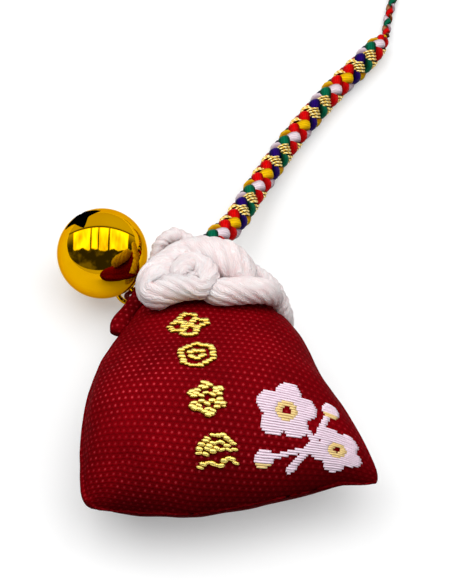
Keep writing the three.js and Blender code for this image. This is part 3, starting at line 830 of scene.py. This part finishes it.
def figureAt(u, v, spec):  # which weft shows at this place of the cloth
    for cu, cv, size, turn in spec["blossoms"]:
        away = math.hypot(u - cu, v - cv) / size
        if away < spec["eye"]:
            return None
        if away < spec["heart"]:
            return "yellow"
        for a in turn + around(spec["petals"]):
            pu, pv = cu + spec["petalAt"] * size * math.cos(a), cv + spec["petalAt"] * size * math.sin(a)
            if math.hypot(u - pu, v - pv) < spec["petalReach"] * size:
                return "white"
    for cu, cv, size in spec["buds"]:
        if math.hypot(u - cu, v - cv) < size:
            return "white" if v > cv - spec["budCup"] * size else "yellow"
    for (u0, v0), (u1, v1), half in spec["twigs"]:
        du, dv = u1 - u0, v1 - v0
        t = clamp(((u - u0) * du + (v - v0) * dv) / (du ** 2 + dv ** 2))
        if math.hypot(u - u0 - t * du, v - v0 - t * dv) < half:
            return "white"
    return None


def onWeave(u, v, lift):  # figure places run with the weave, turned about the figure's middle
    uMid, vMid = (sum(ends) / 2 for ends in figureSpec["box"])
    c, s = math.cos(clothSpec["bias"]), math.sin(clothSpec["bias"])
    return onFront(uMid + (u - uMid) * c + (v - vMid) * s, vMid - (u - uMid) * s + (v - vMid) * c, lift)


def addFloat(part, u0, u1, v, colour, row):  # one weft float, tied down at staggered points
    spec = figureSpec["float"]
    count = max(2, int(round((u1 - u0) / spec["step"])) + 1)
    half = figureSpec["row"] * spec["half"]
    rings = []
    for i in range(count):
        u = u0 + (u1 - u0) * i / (count - 1)
        tied = (i + row * spec["tieShift"]) % spec["tieEvery"] == 0 or i in (0, count - 1)
        high = spec["thick"] * (spec["tied"] if tied else 1.0) * (spec["even"] if row % 2 else 1.0)
        rings.append([onWeave(u, v + half * out, high * share + sunk) for out, share, sunk in spec["section"]])
    addRings(part, rings, tint=figureSpec["tints"][colour])


def weftMaterial():
    material, tree, shader = newMaterial("floatingWeft", {"Roughness": 0.5, "Specular IOR Level": 0.2})
    tint = node(tree, "ShaderNodeVertexColor", layer_name="threadTint").outputs["Color"]
    height = fibres(tree, threads=3.0, slant=0.0, wander=0.2)[0]
    # painted shade between the threads, in a deep red
    dark = mixColour(tree, 0.2, tint, (0.3, 0.02, 0.04, 1))
    feed(tree, shader, {"Base Color": mixColour(tree, height, dark, tint)})
    bumpInto(tree, shader, height, strength=0.25, depth=0.04)
    return material


def makeFigure(spec):
    part = newPart()
    (uLow, uHigh), (vLow, vHigh) = spec["box"]
    for row in range(int((vHigh - vLow) / spec["row"])):
        v = vLow + row * spec["row"]
        start, held = uLow, None
        for u in np.arange(uLow, uHigh, spec["cell"]):
            now = figureAt(u + spec["cell"] / 2, v, spec)
            if now != held:
                if held:
                    addFloat(part, start, u, v, held, row)
                start, held = u, now
    figure = makePiece(part, "wovenFigure", [weftMaterial()])
    settle(figure, "pouch", "brocade")


# Gold column: small emblems couched in metal thread, bead-like stitches on their lines

stitchSpec = {
    "emblems": [(-2.6, 28.0, 2.2, "flower"), (-2.2, 21.6, 2.05, "shell"), (-1.8, 14.9, 2.15, "star"),
                (-1.4, 8.3, 2.1, "wave")],  # place, size and kind
    "pitch": 0.58, "length": 1.0, "radius": 0.33, "sides": 6, "lift": 0.12,
    "bead": [(-0.5, 0.3), (-0.3, 0.9), (0.0, 1.0), (0.3, 0.9), (0.5, 0.3)],  # along the stitch, and its swell there
    "sway": 0.35, "stray": 0.12, "sizes": (0.75, 1.3),
}


def goldThreadMaterial():
    material, tree, shader = newMaterial("goldThread", {"Metallic": 0.8, "Roughness": 0.2})
    height = fibres(tree, threads=4.0, slant=1.4, wander=0.3)[0]
    # painted highlight and shade: pale along each stitch's crown, dark brown at its sides and between the threads,
    # as if lit from above
    paintedShine = scaled(tree, strandEdge(tree), -0.85, scaled(tree, height, 0.3, 0.7))
    body = ramp(tree, paintedShine, (0.0, (104, 62, 2)), (0.4, (226, 176, 40)), (0.95, (255, 240, 142)))
    feed(tree, shader, {"Base Color": body})
    bumpInto(tree, shader, height, strength=0.4, depth=0.05)
    return material


def arc(cu, cv, ru, rv, start=0.0, end=360.0):
    turns = np.radians(np.linspace(start, end, 40))
    return np.stack([cu + ru * np.cos(turns), cv + rv * np.sin(turns)], 1)


def emblemLines(kind):  # around its own middle, for a size of one
    lines = []
    if kind == "flower":  # four petals set as a diamond
        for c, s, high in ((1, 0, 0.34), (0, 1, 0.42), (-1, 0, 0.42), (0, -1, 0.42)):
            lines.append(arc(0.62 * c, 0.62 * s, 0.42, high))
    if kind == "shell":  # hexagon in a hexagon
        turns = np.radians(range(0, 361, 60))
        for reach in (1.05, 0.42):
            lines.append(reach * np.stack([np.sin(turns), np.cos(turns)], 1))
    if kind == "star":  # six rays with a lozenge at each end
        for a in np.radians(range(0, 360, 60)):
            out, beside = np.array((math.sin(a), math.cos(a))), np.array((-math.cos(a), math.sin(a)))
            lines.append([0.2 * out, 1.05 * out])
            lines.append([0.62 * out + 0.26 * beside, 1.05 * out, 0.62 * out - 0.26 * beside])
    if kind == "wave":  # three arcs one within the other, over two smaller ones
        for reach in (1.05, 0.66, 0.3):
            lines.append(arc(0, -0.1, reach, reach, 0, 180))
        for side in (-1, 1):
            lines.append(arc(side * 0.56, -0.98, 0.5, 0.5, 10, 170))
    return [np.array(line) for line in lines]


def addStitch(part, u, v, turn, radius, spec):
    du, dv = math.cos(turn), math.sin(turn)
    rings = []
    for share, swell in spec["bead"]:
        run, size = share * spec["length"], radius * swell
        ring = []
        for a in around(spec["sides"]):
            off, lift = size * math.cos(a), spec["lift"] + size * math.sin(a)
            ring.append(onFront(u + du * run - dv * off, v + dv * run + du * off, lift))
        rings.append(ring)
    addRings(part, rings)


def makeStitches(spec):
    part = newPart()
    dice = random.Random(5)
    for cu, cv, size, kind in spec["emblems"]:
        for line in emblemLines(kind):
            line = line * size
            run = runAlong(line)
            many = max(2, int(round(run[-1] / spec["pitch"])))
            for i in range(many):
                t = run[-1] * (i + 0.5) / many
                u, v = np.interp(t, run, line[:, 0]), np.interp(t, run, line[:, 1])
                turn = -clothSpec["bias"] + dice.uniform(-spec["sway"], spec["sway"])
                u += dice.uniform(-spec["stray"], spec["stray"])
                v += dice.uniform(-spec["stray"], spec["stray"])
                addStitch(part, cu + u, cv + v, turn, spec["radius"] * dice.uniform(*spec["sizes"]), spec)
    stitches = makePiece(part, "goldStitches", [goldThreadMaterial()])
    settle(stitches, "pouch", "brocade")


makeFigure(figureSpec)
makeStitches(stitchSpec)
print("figure woven, emblems stitched")


# White cord: soft twisted strands, one turn round the neck and one for the front of the knot

flossSpec = {"step": 0.25, "sidesPerStrand": 7, "fullness": 0.75, "loose": 0.6, "join": 3.0,
             "drift": (3.7, 0.3, 1.3)}
neckCordSpec = {"closed": True, "relief": 0.27, "strands": 3, "lead": 2.8, "threads": 14.0, "route": [
    (0, 16.85, 1.75, 1.4), (-4.4, 16.85, 2.6, 1.35), (-7.0, 16.95, 5.2, 1.2), (-6.4, 18.2, 7.6, 1.0),
    (-5.4, 19.6, 9.3, 0.92), (-4.6, 21.0, 10.7, 0.98), (-3.5, 21.8, 11.3, 1.1), (-2.4, 21.9, 11.5, 1.2),
    (-1.2, 21.6, 11.2, 0.95), (0.9, 19.2, 11.3, 1.2), (3.6, 16.6, 12.0, 1.2), (6.2, 14.8, 12.5, 1.05),
    (7.9, 13.3, 12.2, 1.1), (9.3, 12.1, 10.9, 1.2), (10.1, 11.0, 9.2, 1.25), (10.7, 9.9, 7.2, 1.2),
    (10.6, 10.2, 4.6, 1.15), (8.2, 13.0, 2.6, 1.25), (4.4, 16.2, 1.9, 1.4)]}  # x, y, z and radius
knotCordSpec = {"closed": False, "relief": 0.13, "strands": 9, "lead": 14.0, "threads": 36.0, "route": [
    (9.4, 9.8, 11.3, 1.0), (8.8, 9.8, 12.7, 1.45), (7.8, 9.7, 13.9, 1.7), (6.1, 9.7, 14.5, 1.8),
    (4.1, 9.75, 14.7, 1.85), (2.1, 9.8, 14.7, 1.8), (1.0, 10.4, 14.4, 1.55), (0.2, 11.3, 14.4, 1.4),
    (-0.7, 12.0, 14.8, 1.35), (-1.6, 11.6, 14.9, 1.5), (-2.4, 11.9, 14.9, 1.65), (-2.5, 13.0, 15.0, 1.75),
    (-1.6, 14.0, 15.0, 1.85), (-0.3, 14.0, 15.0, 1.85), (0.5, 12.9, 15.1, 1.8), (0.5, 11.6, 15.3, 1.75),
    (-0.1, 10.5, 15.3, 1.6), (-1.5, 10.7, 15.2, 1.7), (-3.0, 11.0, 15.0, 1.9), (-4.7, 11.2, 14.5, 2.1),
    (-6.0, 11.4, 14.0, 2.4), (-5.9, 12.8, 14.1, 2.5), (-4.9, 14.3, 13.9, 2.45), (-3.8, 15.5, 13.6, 2.3),
    (-2.6, 16.5, 13.4, 2.25), (-1.2, 17.0, 13.4, 2.4), (0.1, 16.8, 13.6, 2.6), (2.1, 15.9, 13.9, 2.8),
    (3.9, 14.7, 14.0, 2.75), (5.2, 13.3, 13.6, 2.25), (5.6, 12.0, 12.9, 1.6)]}


def whiteCordMaterial(name, lead, threads):
    material, tree, shader = newMaterial(name, {
        "Roughness": 0.55, "Specular IOR Level": 0.3, "Subsurface Weight": 0.55,
        "Subsurface Radius": (1.0, 0.85, 0.8), "Subsurface Scale": 1.4 * mm,
        "Sheen Weight": 0.25, "Sheen Roughness": 0.4, "Sheen Tint": (1, 0.94, 0.94, 1)})  # loose hairs on the silk
    height, shade = fibres(tree, threads=threads, slant=-1 / lead, wander=0.16)
    body = ramp(tree, shade, (0.3, (250, 230, 230)), (0.66, (255, 247, 246)))
    # painted shade in the grooves between the fibres, pink like light bounced off the red cloth
    body = mixColour(tree, scaled(tree, height, 0.55, 0.45), linear(241, 212, 212), body)
    feed(tree, shader, {"Base Color": body})
    bumpInto(tree, shader, height, strength=0.6, depth=0.2)
    return material


def makeWhiteCord(name, spec, cadNode):
    route, length = routeThrough(spec["route"], flossSpec["step"], spec["closed"])
    points, size = np.split(route, [3], 1)
    normal, side = framesAlong(points, None, spec["closed"])
    strands, deep = spec["strands"], spec["relief"]
    sides = strands * flossSpec["sidesPerStrand"]
    along = np.arange(len(points)) * length / len(points)
    twists = round(length / spec["lead"]) if spec["closed"] else length / spec["lead"]
    phase = around(sides)[None, :] - (along / length * twists * fullTurn)[:, None]
    which = np.floor((phase / fullTurn * strands) % strands).astype(int)
    strandShift, alongShift, start = flossSpec["drift"]
    loose = np.array([[noise.noise(Vector((k * strandShift, a * alongShift, start))) for k in range(strands)]
                      for a in along])
    swell = flossSpec["loose"] * np.take_along_axis(loose, which, 1)  # some strands lie fuller than others
    if spec["closed"]:
        swell *= np.clip(np.minimum(along, length - along) / flossSpec["join"], 0, 1)[:, None]
    lobes = np.abs(np.sin(phase * strands / 2)) ** flossSpec["fullness"]
    radius = size * (1 - deep + deep * lobes * (1 + swell))
    part = newPart()
    addRings(part, tubeRings(points, normal, side, sides, radius), spec["closed"])
    cord = makePiece(part, name, [whiteCordMaterial(name + "Floss", spec["lead"], spec["threads"])])
    settle(cord, "pouch", "white_cord", cadNode)


makeWhiteCord("neckCord", neckCordSpec, "neck_cord")
makeWhiteCord("knotCord", knotCordSpec, "knot_cord")
print("white cord tied")


# Bell: a plated shell with a four-point opening, its wire loop and the thread that ties it on

bellSpec = {"middle": (-12.2, 23.45, 7.25), "radius": 6.12, "wall": 0.45, "pole": (-0.38823, 0.48204, 0.78544),
            "across": (0.77515, -0.25705, 0.57711), "segments": 96, "rings": 64,
            "star": {"reach": 2.8, "waist": 1.55, "along": (0.94, 0.2, 0.3), "corners": 48, "from": 3.5,
                     "deep": 5.0},
            "rim": {"width": 0.18, "segments": 3, "angle": 50.0},
            "plated": {"insideFrom": 0.4, "skin": 0.15, "facing": 0.85},
            "loop": {"wire": 0.7, "halfWidth": 1.35, "rise": 2.2, "tail": 0.7, "sides": 14, "steps": 24}}
bellMiddle = np.array(bellSpec["middle"])
bellPole = unit(np.array(bellSpec["pole"]))


def bellFrame(alongX):  # two axes square to the pole, the first nearest to alongX
    x = unit(np.array(alongX) - (np.array(alongX) @ bellPole) * bellPole)
    return x, np.cross(bellPole, x)


bellAcross, bellNormal = bellFrame(bellSpec["across"])


def bellTurn(alongX):  # matrix that stands a piece on the bell's pole
    turn = np.eye(4)
    turn[:3] = np.stack([*bellFrame(alongX), bellPole, bellMiddle * mm], 1)
    return Matrix(turn.tolist())


def goldPlateMaterial():
    material, tree, shader, haze = mottledMaterial("goldPlate", 260.0, 4.0, (214, 156, 2), (222, 165, 3), {
        "Metallic": 1.0, "Specular Tint": (0.8, 0.55, 0.01, 1)})  # keeps the rim gold, not white
    feed(tree, shader, {"Roughness": fade(tree, haze, 0.3, 0.7, 0.04, 0.08, "LINEAR")})
    return material


goldPlate = goldPlateMaterial()
bellInside = mottledMaterial("bellInside", 500.0, 4.0, (26, 17, 4), (48, 32, 8),
                             {"Metallic": 0.6, "Roughness": 0.7})[0]


def makeStarCutter(spec):  # a circle drawn in to four points, and pulled up through the shell
    bpy.ops.mesh.primitive_circle_add(vertices=spec["corners"], radius=spec["reach"] * mm, fill_type="NGON",
                                      location=(0, 0, spec["from"] * mm))
    star = bpy.context.object
    for corner in star.data.vertices:
        turn = math.atan2(corner.co.y, corner.co.x)
        deep = 1 - abs(math.sin(2 * turn))
        reach = (spec["waist"] + (spec["reach"] - spec["waist"]) * deep) * mm
        corner.co.x, corner.co.y = reach * math.cos(turn), reach * math.sin(turn)
    bpy.ops.object.mode_set(mode="EDIT")
    bpy.ops.mesh.select_all(action="SELECT")
    bpy.ops.mesh.extrude_region_move(TRANSFORM_OT_translate={"value": (0, 0, spec["deep"] * mm)})
    bpy.ops.object.mode_set(mode="OBJECT")
    mendMesh(star, 0.01)
    return star


def makeBellShell(spec):
    bpy.ops.object.select_all(action="DESELECT")
    bpy.ops.mesh.primitive_uv_sphere_add(segments=spec["segments"], ring_count=spec["rings"],
                                         radius=spec["radius"] * mm)
    shell = bpy.context.object
    shell.name = shell.data.name = "bellShell"
    applyModifier(shell, "wall", "SOLIDIFY", thickness=spec["wall"] * mm, offset=-1)
    star = makeStarCutter(spec["star"])
    applyModifier(shell, "star", "BOOLEAN", object=star, operation="DIFFERENCE", solver="EXACT")
    bpy.data.objects.remove(star)
    rim = spec["rim"]
    applyModifier(shell, "rim", "BEVEL", width=rim["width"] * mm, segments=rim["segments"],
                  angle_limit=math.radians(rim["angle"]))
    shell.data.transform(bellTurn(spec["star"]["along"]))
    shell.data.materials.clear()
    shell.data.materials.append(goldPlate)
    shell.data.materials.append(bellInside)
    for face in shell.data.polygons:  # the inner wall is left unpolished
        away = (face.center - Vector(bellMiddle * mm)).length
        face.material_index = int(away < (spec["radius"] - spec["plated"]["insideFrom"]) * mm)
    roundNormals(shell.data, spec)
    settle(shell, "bell", "gold_plate", "bell_shell")


def roundNormals(mesh, spec):  # the mirror finish needs the sphere's own normals, also beside the cut
    mesh.polygons.foreach_set("use_smooth", [True] * len(mesh.polygons))
    middle = Vector(bellMiddle * mm)
    least = (spec["radius"] - spec["plated"]["skin"]) * mm
    normals = []
    for face in mesh.polygons:
        away = face.center - middle
        outside = away.normalized().dot(face.normal) > spec["plated"]["facing"] and away.length > least
        for k in face.vertices:
            out = (mesh.vertices[k].co - middle).normalized()
            normals.append(out if outside else face.normal.copy())
    mesh.normals_split_custom_set(normals)


def makeBellLoop(spec):  # a wire drawn out from its tail, bent over in an arch and brought back
    loopSpec, radius = spec["loop"], spec["radius"]
    half = loopSpec["halfWidth"]
    foot = math.sqrt(radius ** 2 - half ** 2) - spec["wall"] - loopSpec["tail"]
    arch = radius + loopSpec["rise"] - half
    bpy.ops.object.select_all(action="DESELECT")
    bpy.ops.mesh.primitive_circle_add(vertices=loopSpec["sides"], radius=loopSpec["wire"] / 2 * mm,
                                      fill_type="NGON", location=(-half * mm, 0, -foot * mm))
    loop = bpy.context.object
    loop.name = loop.data.name = "bellLoop"
    bpy.ops.object.transform_apply(location=True, rotation=False, scale=False)
    bpy.ops.object.mode_set(mode="EDIT")
    bpy.ops.mesh.select_all(action="SELECT")
    bpy.ops.mesh.extrude_region_move(TRANSFORM_OT_translate={"value": (0, 0, (foot - arch) * mm)})
    bpy.ops.mesh.spin(steps=loopSpec["steps"], angle=math.pi, center=(0, 0, -arch * mm), axis=(0, 1, 0))
    bpy.ops.mesh.extrude_region_move(TRANSFORM_OT_translate={"value": (0, 0, (arch - foot) * mm)})
    bpy.ops.object.mode_set(mode="OBJECT")
    mendMesh(loop, 0.01)
    bpy.ops.object.shade_smooth_by_angle(angle=math.radians(50))
    loop.data.transform(bellTurn(bellAcross))
    loop.data.materials.append(goldPlate)
    settle(loop, "bell", "gold_plate", "bell_loop")


tieSpec = {"y": 19.25, "thick": 0.7, "lift": 0.65, "halfWidth": 5.6, "halfHeight": 3.5, "rise": 7.4,
           "round": 0.87, "groove": 0.28, "lay": 1.6, "step": 0.16, "sides": 16, "tint": (150, 12, 24),
           "turnSteps": 20, "openSteps": (2, 19),  # the turn round the neck is left open towards the bell
           "eye": [(1.62, -1.1), (0.405, -0.75), (0, 0), (0.405, 0.75), (1.62, 1.1)]}  # through the bell's loop


def makeBellTie(spec):  # two-ply red thread round the neck and through the bell's loop
    loopSpec = bellSpec["loop"]
    eye = bellMiddle - (bellSpec["radius"] + (loopSpec["rise"] - loopSpec["wire"] / 2) / 2) * bellPole
    tip = math.atan2(eye[2] - spec["rise"], eye[0])

    def bowed(share, half):
        return (half + spec["lift"]) * math.copysign(abs(share) ** spec["round"], share)

    route = []
    for turn in tip + around(spec["turnSteps"])[slice(*spec["openSteps"])]:
        route.append((bowed(math.cos(turn), spec["halfWidth"]), spec["y"],
                      spec["rise"] + bowed(math.sin(turn), spec["halfHeight"])))
    route += [tuple(eye + across * bellAcross + aside * bellNormal) for across, aside in spec["eye"]]
    points, length = routeThrough(route, spec["step"], True)
    normal, side = framesAlong(points, None, True)
    twist = np.arange(len(points)) / len(points) * round(length / spec["lay"]) * fullTurn
    plies = np.abs(np.cos(around(spec["sides"])[None, :] - twist[:, None]))
    radius = spec["thick"] / 2 * (1 - spec["groove"] + spec["groove"] * plies)
    part = newPart()
    rings = tubeRings(points, normal, side, spec["sides"], radius)
    addRings(part, rings, True, tint=plainTint(linear(*spec["tint"])))
    tie = makePiece(part, "bellTie", [dyedSilk])
    settle(tie, "pouch", "red_thread", "bell_tie")


makeBellShell(bellSpec)
makeBellLoop(bellSpec)
makeBellTie(tieSpec)
print("bell hung")


# Stage and light

floorSpec = {"size": 3.0, "lit": 0.14, "seen": 0.66, "near": 0.25, "far": 0.9, "nearGlow": 0.35}
windowSpec = {"radius": 1.2, "facing": (-0.077, -0.568, 0.819), "above": 0.84, "below": 0.035, "wall": (0.3, 0.66),
              "panes": [(-0.6, -0.24), (-0.205, -0.075), (-0.045, 0.15), (0.19, 0.58)], "sill": 0.08, "head": 0.56,
              "glow": 3.4, "edge": 0.01, "sag": 0.35, "lintel": (0.0, 0.012, 0.045, 0.03), "lintelDark": 0.8,
              "curtain": {"scale": 6.0, "stretch": 0.3, "drop": -0.24, "start": 0.12, "folds": (0.3, 0.68, 0.25)},
              "clutter": {"scale": 4.5, "seen": (0.46, 0.72), "below": (0.2, 0.1), "light": 0.2},
              "apron": 0.2, "apronEdge": 0.02, "apronLight": 0.8}
panelSpec = {"count": 4, "middle": (0.02, 0.06, 0.68), "aim": (0, 0.01, 0.01), "width": 0.34, "length": 0.8,
             "gap": 0.06, "power": 2.45}
skySpec = {"light": 0.1, "seen": 1.0}


def grey(level):
    return (level, level, level, 1)


def hideFrom(thing, *rays):
    for ray in rays:
        setattr(thing, "visible_" + ray, False)


def seenDirectly(tree):  # rays that show the background itself
    path = node(tree, "ShaderNodeLightPath").outputs
    seen = sums(tree, "MAXIMUM", path["Is Camera Ray"], path["Is Glossy Ray"])
    return sums(tree, "MAXIMUM", seen, path["Is Transmission Ray"])


def addFloor(spec):
    bpy.ops.mesh.primitive_plane_add(size=spec["size"])
    floor = bpy.context.object
    floor.name = "floor"
    material, tree, shader = newMaterial("paleFloor", {
        "Roughness": 0.9, "Specular IOR Level": 0.1, "Emission Color": grey(1)})
    seen = seenDirectly(tree)
    far = vectors(tree, "LENGTH", objectPlace(tree))
    glow = fade(tree, far, spec["near"], spec["far"], spec["nearGlow"])  # all the white where no lamp reaches
    feed(tree, shader, {"Base Color": mixColour(tree, seen, grey(spec["lit"]), grey(spec["seen"])),
                        "Emission Strength": times(tree, glow, seen)})
    floor.data.materials.append(material)


def mirroredPlace(tree, facing):  # where a ball that faces the front would mirror each point of the walls
    facing = unit(np.array(facing))
    right = unit(np.cross(np.array((0, 0, 1.0)), facing))
    up = np.cross(facing, right)
    away = vectors(tree, "NORMALIZE", objectPlace(tree))
    half = vectors(tree, "NORMALIZE", vectors(tree, "ADD", away, tuple(facing)))
    return [vectors(tree, "DOT_PRODUCT", half, tuple(axis)) for axis in (right, up)]


def addDome(spec):  # glowing walls with a window, seen only in reflections on the shiny pieces: a painted reflection that lights nothing else
    bpy.ops.mesh.primitive_uv_sphere_add(segments=48, ring_count=24, radius=spec["radius"], location=(0, 0, 2 * mm))
    dome = bpy.context.object
    dome.name = "paintedReflectionWalls"
    material, tree, shader = newMaterial("paintedReflectionWalls", {
        "Base Color": grey(0), "Specular IOR Level": 0.0, "Emission Color": grey(1)})
    along, up = mirroredPlace(tree, spec["facing"])
    sag = scaled(tree, times(tree, along, along), spec["sag"], up)  # the window's head drops at its ends
    head, sill, edge = spec["head"], spec["sill"], spec["edge"]
    glass = 0.0
    for left, right in spec["panes"]:
        begun = fade(tree, along, left - edge, left + edge)
        pane = times(tree, begun, fade(tree, along, right + edge, right - edge))
        glass = sums(tree, "ADD", glass, pane)
    glass = times(tree, glass, fade(tree, sag, head + edge, head - edge))
    curtain = spec["curtain"]  # hangs into the panes, and dims them in folds
    hung = node(tree, "ShaderNodeCombineXYZ", {0: along, 1: times(tree, up, curtain["stretch"]), 2: 0.0}).outputs[0]
    fold = clouds(tree, hung, curtain["scale"], 2.0)
    hem = scaled(tree, fold, curtain["drop"], sums(tree, "ADD", up, curtain["start"]))
    glass = times(tree, glass, fade(tree, hem, sill - 2 * edge, sill + 2 * edge))
    glass = times(tree, glass, fade(tree, fold, *curtain["folds"], 1.0, "LINEAR"))
    wall = fade(tree, sag, *spec["wall"], spec["below"], spec["above"])
    clutter = spec["clutter"]  # pale things in the dark room under the window
    room = node(tree, "ShaderNodeCombineXYZ", {0: along, 1: up, 2: 3.0}).outputs[0]
    things = fade(tree, clouds(tree, room, clutter["scale"], 3.0), *clutter["seen"])
    wall = scaled(tree, times(tree, things, fade(tree, up, *clutter["below"])), clutter["light"], wall)
    inner, innerEnd, outer, outerEnd = (head + off for off in spec["lintel"])
    lintel = times(tree, fade(tree, sag, inner, innerEnd), fade(tree, sag, outer, outerEnd))
    wall = times(tree, wall, scaled(tree, lintel, -spec["lintelDark"], 1.0))
    y, z = axes(tree, objectPlace(tree))[1:3]
    apron = scaled(tree, y, spec["apron"], z)  # the pale ground that rises in front
    apron = times(tree, fade(tree, apron, spec["apronEdge"], -spec["apronEdge"]), spec["apronLight"])
    wall = sums(tree, "MAXIMUM", wall, apron)
    feed(tree, shader, {"Emission Strength": scaled(tree, glass, spec["glow"], wall)})
    dome.data.materials.append(material)
    hideFrom(dome, "camera", "diffuse", "shadow", "transmission")


def addPanels(spec):  # one wide soft light, in panels like a window
    middle = Vector(spec["middle"])
    aim = (Vector(spec["aim"]) - middle).to_track_quat("-Z", "Y")
    for k in range(spec["count"]):
        shift = (k - (spec["count"] - 1) / 2) * (spec["width"] + spec["gap"])
        place = middle + aim @ Vector((shift, 0, 0))
        bpy.ops.object.light_add(type="AREA", location=place, rotation=aim.to_euler())
        lamp = bpy.context.object
        lamp.name = "panel%d" % (k + 1)
        lamp.data.shape = "RECTANGLE"
        lamp.data.size = spec["width"]
        lamp.data.size_y = spec["length"]
        lamp.data.energy = spec["power"]
        hideFrom(lamp, "camera", "glossy")


def addSky(spec):
    world = bpy.data.worlds.new("studio")
    scene.world = world
    world.use_nodes = True
    tree = world.node_tree
    strength = scaled(tree, seenDirectly(tree), spec["seen"] - spec["light"], spec["light"])
    feed(tree, tree.nodes["Background"], {"Color": grey(1), "Strength": strength})


addFloor(floorSpec)
addDome(windowSpec)
addPanels(panelSpec)
addSky(skySpec)
scene.view_settings.view_transform = "Standard"
print("stage lit")


# The CAD nodes that stay: slip, wrapper and the bell's ball

def cedarMaterial():
    material, tree, shader = newMaterial("planedCedar", {"Roughness": 0.65})
    grain = node(tree, "ShaderNodeTexWave", {"Vector": objectPlace(tree), "Scale": 260.0, "Distortion": 3.0,
                                             "Detail": 2.0}).outputs["Fac"]
    feed(tree, shader, {"Base Color": ramp(tree, grain, (0.2, (190, 142, 88)), (0.8, (222, 182, 128)))})
    bumpInto(tree, shader, grain, strength=0.2, depth=0.05)
    return material


def paperMaterial():
    material, tree, shader, pulp = mottledMaterial("foldedPaper", 900.0, 4.0, (236, 228, 206), (248, 243, 228),
                                                   {"Roughness": 0.9})
    bumpInto(tree, shader, pulp, strength=0.2, depth=0.03)
    return material


dullSteel = mottledMaterial("dullSteel", 700.0, 3.0, (120, 122, 128), (160, 162, 168),
                            {"Metallic": 1.0, "Roughness": 0.35})[0]
keptFinishes = {"prayer_slip": cedarMaterial(), "slip_wrapper": paperMaterial(), "bell_ball": dullSteel}
for name, material in keptFinishes.items():
    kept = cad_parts[name]
    kept.data.materials.clear()
    kept.data.materials.append(material)
print("kept nodes finished")
